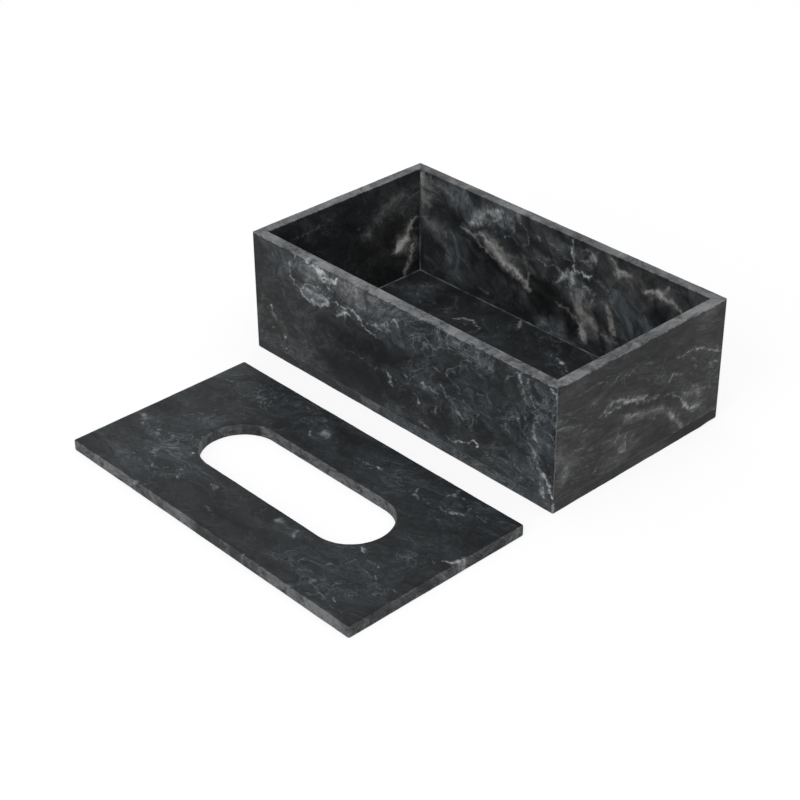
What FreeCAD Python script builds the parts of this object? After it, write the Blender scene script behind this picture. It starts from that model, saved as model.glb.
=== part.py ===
import FreeCAD, Part
import os

# Tissue box in veined black marble: an open box glued up from five slabs, and a loose sixth slab, the lid,
# with a rounded slot for the tissues. The lid drops between the walls and lies on the tissues; here it is
# taken off and lies beside the box, on the same surface.
# Millimetres. +X runs along the box's long side, +Y to its back, +Z up.
# The origin is the centre of the box's underside.

# ---- driving dimensions -----------------------------------------------------------------------------------
box_length = 250.0          # outside, along X
box_width = 140.0           # outside, along Y
box_height = 80.0           # underside to rim
wall_thickness = 7.0        # the four wall slabs
base_thickness = 7.0        # the slab under the walls, as large as the whole box
upright_edge_radius = 1.5   # the box's four upright outside edges
outer_arris = 1.0           # rounding of the outside edges of the rim and of the underside
rim_inner_arris = 0.6       # rounding of the rim's inside edges

lid_thickness = 7.0
lid_side_play = 0.4         # from each long edge of the lid to the wall it drops past
lid_end_play = 0.7          # from each short edge of the lid to the wall it drops past
lid_corner_radius = 1.8     # the lid's four corners, in plan
lid_arris = 0.9             # rounding of the lid's outside edges, above and below
slot_length = 141.0         # tissue slot, end to end
slot_width = 47.0           # tissue slot; its ends are half circles
slot_shift_x = 2.0          # how far the slot's middle lies to the right of the lid's, as it was cut
slot_shift_y = 1.0          # and how far towards the lid's back edge
slot_arris = 0.7            # rounding of the slot's edges, above and below

glue_line = 0.4             # adhesive between two slabs
bead_leg = 1.2              # adhesive squeezed out into the inside corners, along each wall

lid_gap = 25.0              # from the box's front face to the lid's near long edge, as it lies
lid_shift = 10.0            # how far the lid lies to the right of the box's middle

# ---- sizes worked out from them ---------------------------------------------------------------------------
room_length = box_length - 2 * wall_thickness
room_width = box_width - 2 * wall_thickness
wall_foot = base_thickness + glue_line
wall_height = box_height - wall_foot
lid_length = room_length - 2 * lid_end_play
lid_width = room_width - 2 * lid_side_play
lid_y = -(box_width / 2 + lid_gap + lid_width / 2)


# ---- helpers ----------------------------------------------------------------------------------------------
def centred_box(length, width, low, height):
    """A box centred on the Z axis, standing on z = low."""
    return Part.makeBox(length, width, height, FreeCAD.Vector(-length / 2, -width / 2, low))


def flat_rectangle(length, width, z):
    """A closed wire, centred on the Z axis at height z."""
    corners = [(-length, -width), (length, -width), (length, width), (-length, width)]
    points = [FreeCAD.Vector(x / 2, y / 2, z) for x, y in corners]
    return Part.makePolygon(points + [points[0]])


def upright_edges(shape):
    """Edges that run along Z from end to end."""
    return [edge for edge in shape.Edges if edge.BoundBox.XLength + edge.BoundBox.YLength < 0.001]


def edges_in_plane(shape, z):
    """Edges that lie wholly at height z."""
    return [edge for edge in shape.Edges if abs(edge.BoundBox.ZMin - z) + abs(edge.BoundBox.ZMax - z) < 0.001]


def export(name, *solids):
    """Write one named sub-part, checked, as a STEP file."""
    shape = solids[0] if len(solids) == 1 else Part.makeCompound(list(solids))
    if not shape.isValid() or not all(solid.Volume > 0 for solid in shape.Solids):
        raise ValueError(name + " is not a valid solid")
    shape.exportStep("parts/" + name + ".step")
    print(name, len(shape.Solids), "solid(s)", round(shape.Volume, 1), "mm3")


# ---- the box ----------------------------------------------------------------------------------------------
def box_blank():
    """The box's outside, solid, with its edges rounded."""
    block = centred_box(box_length, box_width, 0, box_height)
    block = block.makeFillet(upright_edge_radius, upright_edges(block))
    level_edges = edges_in_plane(block, 0) + edges_in_plane(block, box_height)
    return block.makeFillet(outer_arris, level_edges)


def wall_ring(blank):
    """The four walls in one piece, before the mitres are cut."""
    ring = blank.common(centred_box(2 * box_length, 2 * box_width, wall_foot, 2 * box_height))
    ring = ring.cut(centred_box(room_length, room_width, 0, 2 * box_height))
    inside = centred_box(room_length, room_width, 0, 2 * box_height).BoundBox
    inside.enlarge(0.001)
    rim_edges = [edge for edge in edges_in_plane(ring, box_height) if inside.isInside(edge.BoundBox)]
    return ring.makeFillet(rim_inner_arris, rim_edges)


def mitre_sheets():
    """Four upright sheets, as thick as the glue line, on the diagonals of the box's corners."""
    reach = 3 * wall_thickness
    sheets = []
    for side_x in (-1, 1):
        for side_y in (-1, 1):
            sheet = centred_box(reach, glue_line, 0, 2 * box_height)
            sheet.rotate(FreeCAD.Vector(0, 0, 0), FreeCAD.Vector(0, 0, 1), 45 * side_x * side_y)
            corner_x = side_x * (box_length - wall_thickness) / 2
            corner_y = side_y * (box_width - wall_thickness) / 2
            sheet.translate(FreeCAD.Vector(corner_x, corner_y, 0))
            sheets.append(sheet)
    return sheets


def lies_towards(solids, direction):
    """The solid whose centre is furthest in the given direction."""
    return max(solids, key=lambda solid: solid.CenterOfMass.dot(direction))


def floor_bead():
    """Adhesive with a sloping face along the foot of the walls."""
    strip = centred_box(room_length, room_width, base_thickness, bead_leg)
    low = flat_rectangle(room_length - 2 * bead_leg, room_width - 2 * bead_leg, base_thickness)
    high = flat_rectangle(room_length, room_width, base_thickness + bead_leg)
    return strip.cut(Part.makeLoft([low, high], True, True))


def corner_beads(foot_bead):
    """Adhesive with a sloping face up each inside corner, as high as the lid when it lies level with the rim."""
    height = box_height - lid_thickness - base_thickness
    beads = []
    for side_x in (-1, 1):
        for side_y in (-1, 1):
            corner = FreeCAD.Vector(side_x * room_length / 2, side_y * room_width / 2, base_thickness)
            along_x = corner - FreeCAD.Vector(side_x * bead_leg, 0, 0)
            along_y = corner - FreeCAD.Vector(0, side_y * bead_leg, 0)
            section = Part.Face(Part.makePolygon([corner, along_x, along_y, corner]))
            beads.append(section.extrude(FreeCAD.Vector(0, 0, height)).cut(foot_bead).Solids[0])
    return beads


# ---- the lid ----------------------------------------------------------------------------------------------
def slot_cutter():
    """The rounded slot as a solid, in its place in the lid, standing well past both faces."""
    radius = slot_width / 2
    run = slot_length - slot_width
    middle = centred_box(run, slot_width, -lid_thickness, 3 * lid_thickness)
    for side in (-1, 1):
        end = Part.makeCylinder(radius, 3 * lid_thickness, FreeCAD.Vector(side * run / 2, 0, -lid_thickness))
        middle = middle.fuse(end)
    middle = middle.removeSplitter()
    middle.translate(FreeCAD.Vector(slot_shift_x, slot_shift_y, 0))
    return middle


def lid():
    """The loose slab, lying on z = 0 beside the box."""
    slab = centred_box(lid_length, lid_width, 0, lid_thickness)
    slab = slab.makeFillet(lid_corner_radius, upright_edges(slab))
    slab = slab.makeFillet(lid_arris, edges_in_plane(slab, 0) + edges_in_plane(slab, lid_thickness))
    slab = slab.cut(slot_cutter())
    reach = slot_cutter().BoundBox
    reach.enlarge(0.001)
    level = edges_in_plane(slab, 0) + edges_in_plane(slab, lid_thickness)
    slab = slab.makeFillet(slot_arris, [edge for edge in level if reach.isInside(edge.BoundBox)])
    slab.translate(FreeCAD.Vector(lid_shift, lid_y, 0))
    return slab


# ---- the parts --------------------------------------------------------------------------------------------
os.makedirs("parts", exist_ok=True)

blank = box_blank()
base = blank.common(centred_box(2 * box_length, 2 * box_width, 0, base_thickness))
base_glue = blank.common(centred_box(2 * box_length, 2 * box_width, base_thickness, glue_line))
base_glue = base_glue.cut(centred_box(room_length, room_width, 0, box_height))
ring = wall_ring(blank)
sheets = mitre_sheets()
walls = ring.cut(Part.makeCompound(sheets)).Solids
foot_bead = floor_bead()

export("base_slab", base)
export("front_wall_slab", lies_towards(walls, FreeCAD.Vector(0, -1, 0)))
export("back_wall_slab", lies_towards(walls, FreeCAD.Vector(0, 1, 0)))
export("left_end_slab", lies_towards(walls, FreeCAD.Vector(-1, 0, 0)))
export("right_end_slab", lies_towards(walls, FreeCAD.Vector(1, 0, 0)))
export("base_joint_glue", base_glue)
export("corner_joint_glue", *[ring.common(sheet).Solids[0] for sheet in sheets])
export("floor_glue_bead", foot_bead)
export("corner_glue_beads", *corner_beads(foot_bead))
export("lid_slab", lid())
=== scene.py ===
"""Dark veined marble tissue box: five slabs glued into an open box, and a loose sixth slab, the lid, with a
rounded slot. The lid is shown taken off, lying beside the box."""

import math

import bpy
import numpy as np
from bpy.props import FloatProperty, FloatVectorProperty, IntProperty, PointerProperty
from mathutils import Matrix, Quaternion, Vector


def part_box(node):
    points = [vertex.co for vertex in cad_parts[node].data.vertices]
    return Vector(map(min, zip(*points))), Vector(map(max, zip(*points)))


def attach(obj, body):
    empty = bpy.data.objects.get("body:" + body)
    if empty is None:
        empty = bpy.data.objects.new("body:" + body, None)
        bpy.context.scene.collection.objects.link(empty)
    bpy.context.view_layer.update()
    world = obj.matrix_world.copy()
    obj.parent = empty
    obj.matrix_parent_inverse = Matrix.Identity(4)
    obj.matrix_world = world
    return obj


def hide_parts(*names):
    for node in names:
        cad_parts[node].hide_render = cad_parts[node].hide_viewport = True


bl_info = {
    "name": "Marble Tissue Box",
    "version": (1, 0, 0),
    "blender": (4, 5, 0),
    "location": "View3D > Sidebar > Tissue Box",
    "description": "Builds a tissue box of glued marble slabs with a loose slotted lid",
    "category": "Object",
}

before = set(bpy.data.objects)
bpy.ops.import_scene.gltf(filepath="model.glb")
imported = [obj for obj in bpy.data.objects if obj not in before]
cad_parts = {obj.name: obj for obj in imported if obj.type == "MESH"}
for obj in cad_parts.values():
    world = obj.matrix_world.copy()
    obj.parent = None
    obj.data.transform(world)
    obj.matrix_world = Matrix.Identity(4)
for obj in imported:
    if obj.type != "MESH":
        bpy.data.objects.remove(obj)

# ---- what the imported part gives, in metres ----------------------------------------------------------------
HALF_LENGTH, HALF_WIDTH, BASE_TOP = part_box("base_slab")[1]
FRONT_LOW, FRONT_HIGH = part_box("front_wall_slab")
LID_LOW, LID_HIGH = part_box("lid_slab")
WALL_FOOT, RIM = FRONT_LOW.z, FRONT_HIGH.z
WALL_THICKNESS = HALF_WIDTH + FRONT_HIGH.y
GLUE_LINE = WALL_FOOT - BASE_TOP

# ---- how the slabs are meshed and worn, in metres ---------------------------------------------------------
JOINT_ARRIS = 0.00005  # the barely broken edges where two slabs meet
EDGE_BAND = 0.0022  # the finely meshed strip beside an eased edge
INNER_BAND = 0.0014  # the same beside the inside of the rim
JOINT_BAND = 0.0006  # the same beside a joint
THICKNESS_STEP = 0.0009  # mesh step through the thickness of a slab
EDGE_WAVES = (0.045, 0.019, 0.008, 0.0037)  # the lengths over which a hand-eased edge varies
EDGE_WAVE_SUM = 1.6  # what the waves come to together
WORN_FROM, WORN_OVER, WORN_EXTRA = 0.056, 0.005, 0.001  # the base's worn lower edge at the right rear
RIM_FADE = 0.0002  # the rim's flat top is honed, fading out over this
LID_LOOPS = 36  # loops of points between the lid's slot and its edge
ARRIS_SHARES = (0.0, 0.3, 0.6, 0.85, 1.0)  # where the loops lie on the lid's rounded edges
HONED_UPRIGHT, HONED_EDGE, HONED_SLOT = 0.3, 0.75, 0.8  # how far upright corners, lid edge and slot are honed
MILLIMETRES = 1000.0
SHARP_FROM = math.radians(40)  # edges that turn by more than this are shaded sharp


# ---- settings a user would change -------------------------------------------------------------------------
def length(name, description, default, low=0.0, high=0.01):
    """A length in metres, shown in the scene's own unit."""
    return FloatProperty(
        name=name, description=description, default=default, min=low, max=high,
        precision=5, subtype="DISTANCE", unit="LENGTH",
    )


def share(name, description, default):
    """A number from 0 to 1."""
    return FloatProperty(
        name=name, description=description, default=default, min=0.0, max=1.0, subtype="FACTOR",
    )


def colour(name, description, default):
    """A linear colour."""
    return FloatVectorProperty(
        name=name, description=description, default=default, size=3, min=0.0, max=1.0, subtype="COLOR",
    )


class SlabSizes(bpy.types.PropertyGroup):
    """How the stone slabs are cut and eased."""

    facet: length("Facet size", "Distance between mesh points on the walls", 0.00075, 0.0005)
    broad_facet: length("Broad facet size", "Distance between mesh points on base and lid", 0.00102, 0.0005)
    outer_arris: length("Outer arris", "Rounding of the box's outside edges", 0.001)
    inner_arris: length("Inner arris", "Rounding of the rim's inside edges", 0.0006)
    upright_arris: length("Upright arris", "Rounding of the box's four upright outside edges", 0.0015)
    lid_arris: length("Lid arris", "Rounding of the lid's outside edges", 0.0009)
    lid_corner: length("Lid corner", "Rounding of the lid's four corners in plan", 0.0012)
    slot_arris: length("Slot arris", "Rounding of the slot's edges", 0.0007)
    slot_length: length("Slot length", "Tissue slot, end to end", 0.141, 0.05, 0.2)
    slot_width: length("Slot width", "Tissue slot, side to side; its ends are half circles", 0.047, 0.01, 0.1)
    slot_shift: FloatVectorProperty(
        name="Slot shift",
        description="How far the slot's middle lies off the lid's, across and towards the back",
        default=(0.002, 0.001), size=2, precision=5, subtype="XYZ_LENGTH", unit="LENGTH",
    )
    unevenness: share("Unevenness", "How much the hand-eased edges vary in width", 0.14)
    seed: IntProperty(name="Seed", description="Changes where the edges vary", default=7, min=0)


class StoneColours(bpy.types.PropertyGroup):
    """The colours of the marble."""

    deep: colour("Deep stone", "The darkest ground of the marble", (0.0050, 0.0055, 0.0062))
    cool: colour("Bluish stone", "The lighter, bluish clouds of the ground", (0.200, 0.226, 0.245))
    warm: colour("Brownish stone", "The lighter, brownish clouds of the ground", (0.224, 0.221, 0.218))
    cool_wisps: colour("Bluish wisps", "Bluish grey streaks", (0.225, 0.252, 0.270))
    warm_wisps: colour("Beige wisps", "Beige grey streaks", (0.255, 0.244, 0.228))
    beige: colour("Beige veins", "Broad veins of warm calcite", (0.43, 0.42, 0.402))
    white: colour("White veins", "The calcite veins of most slabs", (0.50, 0.52, 0.53))
    calcite: colour("Bright calcite", "The purer calcite inside the left end", (0.74, 0.73, 0.71))
    honed_dark: colour("Honed stone, dark", "Dark streaks of rubbed, unpolished stone", (0.055, 0.058, 0.061))
    honed_pale: colour("Honed stone, pale", "Pale streaks of rubbed, unpolished stone", (0.226, 0.233, 0.237))
    roughness: share("Roughness", "Roughness of the polished faces", 0.42)
    gloss: share("Gloss", "How strongly the polished faces mirror the light", 0.085)


class GlueLook(bpy.types.PropertyGroup):
    """The adhesive between the slabs and in the inside corners."""

    bead_leg: length("Bead leg", "How far the bead reaches along each slab", 0.0008, 0.0003, 0.0012)
    bead_variation: share("Bead variation", "How unevenly the bead was wiped", 0.35)
    tint: colour("Adhesive", "The set adhesive, tinted like the marble", (0.024, 0.026, 0.028))
    filled: colour("Stone dust", "Where the adhesive took up pale stone dust", (0.075, 0.080, 0.083))
    bead: colour("Wiped bead", "The beads inside, paler where they were wiped thin", (0.150, 0.154, 0.154))
    rubbed: colour("Rubbed joints", "Adhesive that was rubbed down with the stone", (0.095, 0.101, 0.105))
    # Painted shadow: the near-black colour of the joint's rear stretch along the right end, under the
    # overhanging end wall.
    painted_gap_shadow: colour("Open joint", "The stretch of joint that stayed dark", (0.004, 0.004, 0.004))


class StageLook(bpy.types.PropertyGroup):
    """The floor and the light."""

    floor: colour("Floor", "The colour of the floor", (0.98, 0.98, 0.98))
    shadow_lift: share("Shadow lift", "How much of the shadow on the floor is lightened", 0.83)
    sky: FloatProperty(
        name="Sky light", description="Strength of the even light all round", default=0.5, min=0.0,
    )
    front_lamp: FloatProperty(
        name="Front lamp", description="Power of the large soft lamp in front",
        default=110.0, min=0.0, unit="POWER",
    )
    top_lamp: FloatProperty(
        name="Top lamp", description="Power of the large soft lamp overhead",
        default=66.0, min=0.0, unit="POWER",
    )


# ---- strokes drawn on the slabs ---------------------------------------------------------------------------
# A stroke is (half width, strength, points), in millimetres across and down the slab's seen face. The lists
# go by slab and by what the strokes bring: white veins, beige veins, pale haze, dark ground or a brown tint.
# One white stroke on the right end is a painted highlight, and one dark stroke on the base a painted shadow.
STROKES = {}
STROKES["front_wall_slab", "vein_and_highlight"] = [
    (0.9, 0.36, (41, 1), (37, 7), (34, 12), (35, 17), (40, 20), (46, 24)),
    (1.2, 0.4, (44, 24), (45, 20), (49, 16), (55, 14), (61, 15)),
    (1.3, 0.48, (45, 24), (50, 26), (57, 27), (64, 25), (70, 21)),
    (4.2, 0.26, (49, 22), (56, 20), (65, 21)),
    (1.4, 0.68, (50, 1), (56, 3), (62, 4), (68, 3)),
    (1.4, 0.68, (60, 4), (65, 7), (72, 6), (79, 2)),
    (0.8, 0.51, (61, 8), (66, 10), (72, 12)),
    (0.7, 0.47, (66, 22), (70, 19), (76, 19), (82, 20), (88, 18), (94, 19), (98, 24), (101, 27),
     (107, 28), (114, 27)),
    (1.4, 0.55, (74, 28), (78, 25), (83, 23), (88, 22)),
    (0.6, 0.27, (96, 11), (103, 12), (111, 12)),
    (0.8, 0.38, (102, 21), (109, 19), (115, 17), (121, 15)),
    (0.7, 0.3, (110, 22), (117, 20), (125, 17)),
    (1.2, 0.47, (123, 12), (126, 10), (128, 13)),
    (1.4, 0.42, (16, 44), (17, 48), (18, 52)),
    (1.1, 0.38, (15, 60), (19, 60)),
    (1.0, 0.3, (26, 62), (29, 63)),
    (1.0, 0.3, (27, 30), (29, 34)),
    (1.0, 0.24, (21, 25), (26, 26)),
    (1.0, 0.26, (19, 8), (22, 9)),
    (1.0, 0.42, (3, 75), (8, 74)),
    (0.7, 0.34, (23, 70), (30, 70), (37, 71)),
    (0.6, 0.26, (38, 73), (46, 72)),
    (0.9, 0.26, (67, 43), (72, 43)),
    (0.6, 0.24, (84, 47), (92, 47), (100, 46)),
    (0.7, 0.26, (102, 48), (109, 48), (116, 47)),
    (1.5, 0.42, (118, 46), (121, 50), (122, 55)),
    (1.1, 0.38, (133, 43), (138, 43)),
    (1.2, 0.38, (147, 43), (152, 43)),
    (1.3, 0.36, (155, 42), (161, 43)),
    (1.3, 0.38, (162, 36), (165, 39), (168, 43)),
    (1.1, 0.42, (159, 52), (159, 58)),
    (1.3, 0.4, (157, 27), (161, 27)),
    (0.8, 0.36, (167, 6), (169, 8)),
    (0.6, 0.21, (140, 22), (147, 23)),
    (1.1, 0.38, (173, 45), (178, 49), (182, 53), (186, 53)),
    (0.8, 0.34, (186, 52), (190, 47), (193, 41)),
    (0.6, 0.26, (191, 29), (197, 28)),
    (1.0, 0.81, (189, 62), (191, 62), (191, 64)),
    (0.7, 0.51, (164, 67), (169, 68), (175, 68), (181, 66), (186, 64), (190, 62)),
    (1.0, 0.36, (145, 68), (153, 69)),
    (1.1, 0.36, (142, 52), (145, 56)),
    (1.0, 0.34, (168, 24), (170, 28)),
    (1.2, 0.32, (137, 30), (139, 34)),
    (1.0, 0.34, (181, 38), (184, 41)),
    (1.0, 0.34, (150, 12), (152, 16)),
    (0.7, 0.42, (228, 0), (229, 7), (232, 13), (235, 19)),
    (2.2, 0.2, (222, 3), (224, 12), (230, 20)),
    (2.6, 0.18, (236, 18), (234, 30), (238, 42), (234, 52)),
    (1.8, 0.16, (198, 66), (210, 62), (222, 62)),
    (1.6, 0.14, (206, 68), (218, 69), (228, 68)),
    (0.6, 0.36, (221, 4), (224, 9), (227, 15)),
    (0.7, 0.32, (212, 13), (216, 9), (220, 4)),
    (0.7, 0.31, (233, 20), (234, 29), (236, 39)),
    (0.7, 0.31, (219, 25), (224, 34), (230, 42), (236, 50), (238, 57)),
    (0.5, 0.26, (227, 25), (232, 36)),
    (2.0, 0.59, (241, 58), (246, 62), (249, 70)),
    (1.5, 0.47, (240, 64), (243, 71), (247, 75)),
    (1.2, 0.34, (236, 55), (242, 58), (248, 57)),
    (1.2, 0.51, (245, 1), (249, 4), (250, 10)),
]
STROKES["front_wall_slab", "beige"] = [
    (6.5, 0.27, (72, 5), (90, 7), (112, 5)),
    (6.0, 0.22, (40, 8), (52, 9), (64, 8)),
    (2.8, 0.17, (92, 77), (170, 78), (242, 77)),
]
STROKES["front_wall_slab", "brown"] = [
    (24.0, 0.9, (4, 50), (30, 45)),
    (16.0, 0.6, (40, 64), (70, 68)),
    (7.0, 0.6, (76, 7), (104, 7)),
    (5.0, 0.5, (90, 77), (150, 77)),
    (5.0, 0.5, (160, 78), (240, 77)),
]
STROKES["front_wall_slab", "haze"] = [
    (8.0, 1.5, (42, 6), (58, 7), (76, 7)),
    (8.0, 1.6, (74, 5), (92, 7), (112, 5)),
    (6.0, 1.0, (136, 6), (160, 4), (200, 8)),
    (5.5, 0.85, (47, 21), (57, 20), (67, 21)),
    (8.0, 0.5, (70, 4), (90, 6), (112, 4), (133, 5)),
    (9.0, 0.28, (128, 13), (146, 10), (160, 16)),
    (7.0, 0.25, (110, 20), (122, 18)),
    (10.0, 0.3, (150, 40), (165, 44), (182, 50)),
    (6.0, 0.45, (138, 36), (148, 43)),
    (5.0, 0.45, (172, 44), (186, 54)),
    (6.0, 0.35, (143, 64), (156, 70)),
    (8.0, 0.3, (206, 28), (214, 44)),
    (8.0, 0.45, (226, 3), (232, 28), (236, 54)),
    (6.0, 0.3, (246, 6), (246, 48)),
    (6.0, 0.45, (196, 64), (212, 61), (230, 58)),
    (5.0, 0.3, (200, 67), (214, 69), (226, 68)),
    (6.0, 0.5, (240, 62), (247, 68)),
    (3.5, 0.7, (92, 77), (120, 78), (152, 77)),
    (3.0, 0.5, (165, 77), (232, 77)),
]
STROKES["front_wall_slab", "dark"] = [
    (8.0, 0.85, (60, 35), (92, 37), (128, 36)),
    (9.0, 0.95, (62, 60), (100, 62), (138, 58)),
    (6.0, 0.4, (2, 42), (12, 36), (30, 46)),
    (6.0, 0.25, (204, 38), (215, 50)),
    (5.0, 0.35, (126, 27), (136, 31)),
    (2.0, 0.35, (30, 22), (35, 25), (41, 28)),
    (4.0, 0.25, (160, 18), (178, 14), (190, 20)),
    (3.0, 0.35, (172, -2), (205, -2), (246, -2)),
]
STROKES["right_end_slab", "vein_and_highlight"] = [
    (0.6, 0.3, (17, 11), (22, 12), (26, 11), (31, 10), (36, 11), (41, 13)),
    (0.6, 0.34, (43, 16), (47, 14), (52, 12), (57, 14), (61, 14)),
    (0.7, 0.34, (69, 13), (73, 14), (78, 17)),
    (0.8, 0.34, (29, 24), (30, 21), (32, 23)),
    (1.0, 0.5, (28, -1), (32, 0)),
    (0.8, 0.45, (35, 0), (38, -1)),
    (0.7, 0.3, (60, 0), (66, -1), (72, 0)),
    (0.8, 0.36, (22, 35), (26, 34), (29, 33)),
    (1.2, 0.28, (38, 31), (42, 29), (47, 28), (53, 29), (57, 31), (63, 33)),
    (2.4, 0.12, (38, 30), (48, 30), (58, 31)),
    (0.7, 0.4, (34, 32), (40, 32), (46, 33), (53, 34)),
    (1.1, 0.31, (56, 31), (62, 33), (68, 35), (74, 38), (79, 40), (84, 42)),
    (0.5, 0.3, (55, 33), (61, 35), (67, 37), (72, 39)),
    (2.4, 0.12, (56, 32), (68, 35), (82, 41)),
    (0.5, 0.3, (76, 37), (82, 40), (88, 43)),
    (0.9, 0.34, (87, 43), (92, 43), (96, 44), (99, 47), (102, 49), (105, 52)),
    (1.4, 0.26, (103, 50), (106, 54), (109, 58), (113, 62), (118, 64), (122, 63)),
    (2.0, 0.26, (107, 54), (111, 60), (117, 62), (122, 62)),
    (0.7, 0.26, (105, 51), (107, 48), (111, 48), (112, 52), (108, 54)),
    (0.8, 0.2, (123, 62), (125, 57), (124, 51), (120, 47), (114, 45), (109, 47)),
    (1.4, 0.22, (114, 46), (119, 49), (121, 55), (120, 60)),
    (0.6, 0.2, (0, 46), (8, 45), (18, 46), (28, 49), (38, 51), (49, 51)),
    (0.6, 0.26, (49, 50), (51, 46), (55, 43), (60, 42), (65, 44)),
    (0.7, 0.24, (52, 48), (50, 53), (51, 58), (53, 63), (57, 64), (57, 58), (60, 53), (61, 48)),
    (1.3, 0.2, (53, 60), (55, 63)),
    (0.9, 0.22, (94, 56), (100, 61), (106, 67), (111, 73)),
    (0.8, 0.36, (96, 22), (102, 22), (108, 21)),
    (0.8, 0.4, (107, 21), (113, 21), (118, 24), (123, 26), (129, 29), (134, 31), (139, 35)),
    (1.8, 0.28, (127, 28), (133, 30), (138, 34)),
    (0.6, 0.3, (110, 26), (114, 28), (116, 32), (115, 36)),
    (0.7, 0.3, (84, 25), (86, 28), (90, 31), (92, 35), (96, 32), (101, 33), (107, 36), (112, 38)),
    (0.7, 0.24, (121, 41), (127, 39), (133, 39), (138, 37)),
    (0.9, 0.26, (130, 53), (131, 56)),
    (0.6, 0.2, (97, 11), (103, 12), (104, 14)),
    (0.6, 0.24, (38, 56), (41, 60), (46, 62)),
    (0.8, 0.2, (14, 66), (20, 67)),
    (0.7, 0.22, (30, 68), (34, 66), (40, 66)),
    (0.5, 0.2, (48, 74), (54, 74)),
    # Painted highlight: a thin pale line along the end wall's lower edge at the rear, where it meets the base.
    (0.5, 0.46, (98, 73), (118, 73), (139, 73)),
    (0.6, 0.24, (4, 27), (12, 29), (20, 30)),
    (0.6, 0.18, (6, 19), (13, 21)),
]
STROKES["right_end_slab", "beige"] = [
    (3.9, 0.31, (55, 44), (63, 45), (70, 47), (78, 49), (86, 51), (93, 56), (100, 62), (108, 70)),
    (4.5, 0.22, (110, 50), (117, 50), (121, 56)),
]
STROKES["right_end_slab", "haze"] = [
    (4.0, 0.55, (57, 43), (66, 46), (78, 50), (90, 54), (98, 61), (105, 68), (111, 74)),
    (3.0, 0.4, (38, 30), (50, 30), (64, 34), (78, 40)),
    (7.0, 0.38, (108, 48), (118, 54), (122, 60)),
    (4.0, 0.4, (20, 38), (28, 40)),
    (5.0, 0.5, (50, 48), (55, 60)),
    (6.0, 0.28, (36, 62), (50, 66)),
    (3.0, 0.3, (4, 5), (24, 4)),
    (3.0, 0.25, (116, 10), (132, 14)),
    (4.0, 0.25, (66, 22), (84, 26)),
    (3.0, 0.35, (1, 8), (2, 40), (1, 74)),
    (7.0, 0.6, (2, 46), (10, 52), (6, 64)),
    (9.0, 0.3, (132, 34), (132, 60)),
    (4.0, 0.25, (104, 24), (118, 24), (134, 30)),
    (5.0, 0.2, (28, 22), (44, 24)),
]
STROKES["right_end_slab", "dark"] = [
    (7.0, 0.7, (68, 58), (80, 62), (92, 69), (96, 74)),
    (4.0, 0.35, (36, 40), (46, 42)),
    (3.0, 0.4, (56, 37), (66, 40), (78, 45), (90, 48)),
    (5.0, 0.25, (60, 22), (92, 18)),
    (3.0, 0.3, (92, 49), (100, 55), (106, 63)),
    (5.0, 0.2, (60, 4), (110, 8)),
]
STROKES["back_wall_slab", "vein_and_highlight"] = [
    (5.0, 0.42, (46, 22), (52, 17), (60, 10), (70, 5)),
    (2.6, 0.44, (45, 22), (52, 20), (58, 18)),
    (1.2, 0.4, (50, 28), (56, 26), (60, 27)),
    (1.1, 0.3, (60, 20), (66, 14), (71, 9), (79, 5), (88, 2)),
    (2.2, 0.55, (61, 28), (64, 30), (67, 32)),
    (1.6, 0.34, (69, 36), (75, 38), (82, 41)),
    (2.2, 0.42, (80, 38), (86, 40), (91, 44)),
    (1.5, 0.6, (141, 58), (143, 61), (145, 65)),
    (1.3, 0.5, (167, 12), (171, 9), (176, 8)),
    (1.3, 0.5, (190, 14), (196, 12), (203, 12)),
    (2.0, 0.3, (60, 8), (70, 12), (80, 16), (86, 22)),
    (1.0, 0.32, (72, 4), (80, 7), (84, 12), (82, 18), (76, 21)),
    (0.8, 0.3, (88, 6), (94, 10), (96, 17), (92, 22)),
    (0.8, 0.26, (100, 20), (106, 23), (113, 22), (118, 19)),
    (1.4, 0.36, (140, 6), (146, 5), (150, 9), (147, 14), (141, 14)),
    (1.2, 0.3, (141, 30), (147, 28), (151, 31), (149, 36)),
    (0.9, 0.6, (133, 1), (132, 9), (134, 15), (134, 22)),
    (0.8, 0.8, (133, 20), (140, 22), (146, 22), (151, 21)),
    (1.6, 0.55, (134, 22), (130, 24), (126, 28), (122, 34)),
    (1.8, 0.5, (133, 24), (132, 30), (131, 36)),
    (4.5, 0.26, (132, 24), (128, 30), (122, 34)),
    (0.8, 0.4, (116, 24), (124, 27), (129, 26)),
    (0.8, 0.35, (134, 18), (128, 16), (122, 18)),
    (1.3, 0.5, (103, 10), (106, 12)),
    (0.9, 0.35, (110, 8), (116, 12), (122, 13)),
    (0.9, 0.3, (103, 26), (110, 27), (117, 25)),
    (0.9, 0.3, (138, 26), (144, 29), (148, 34), (149, 40)),
    (0.8, 0.28, (148, 24), (156, 22), (162, 25), (164, 31)),
]
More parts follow.
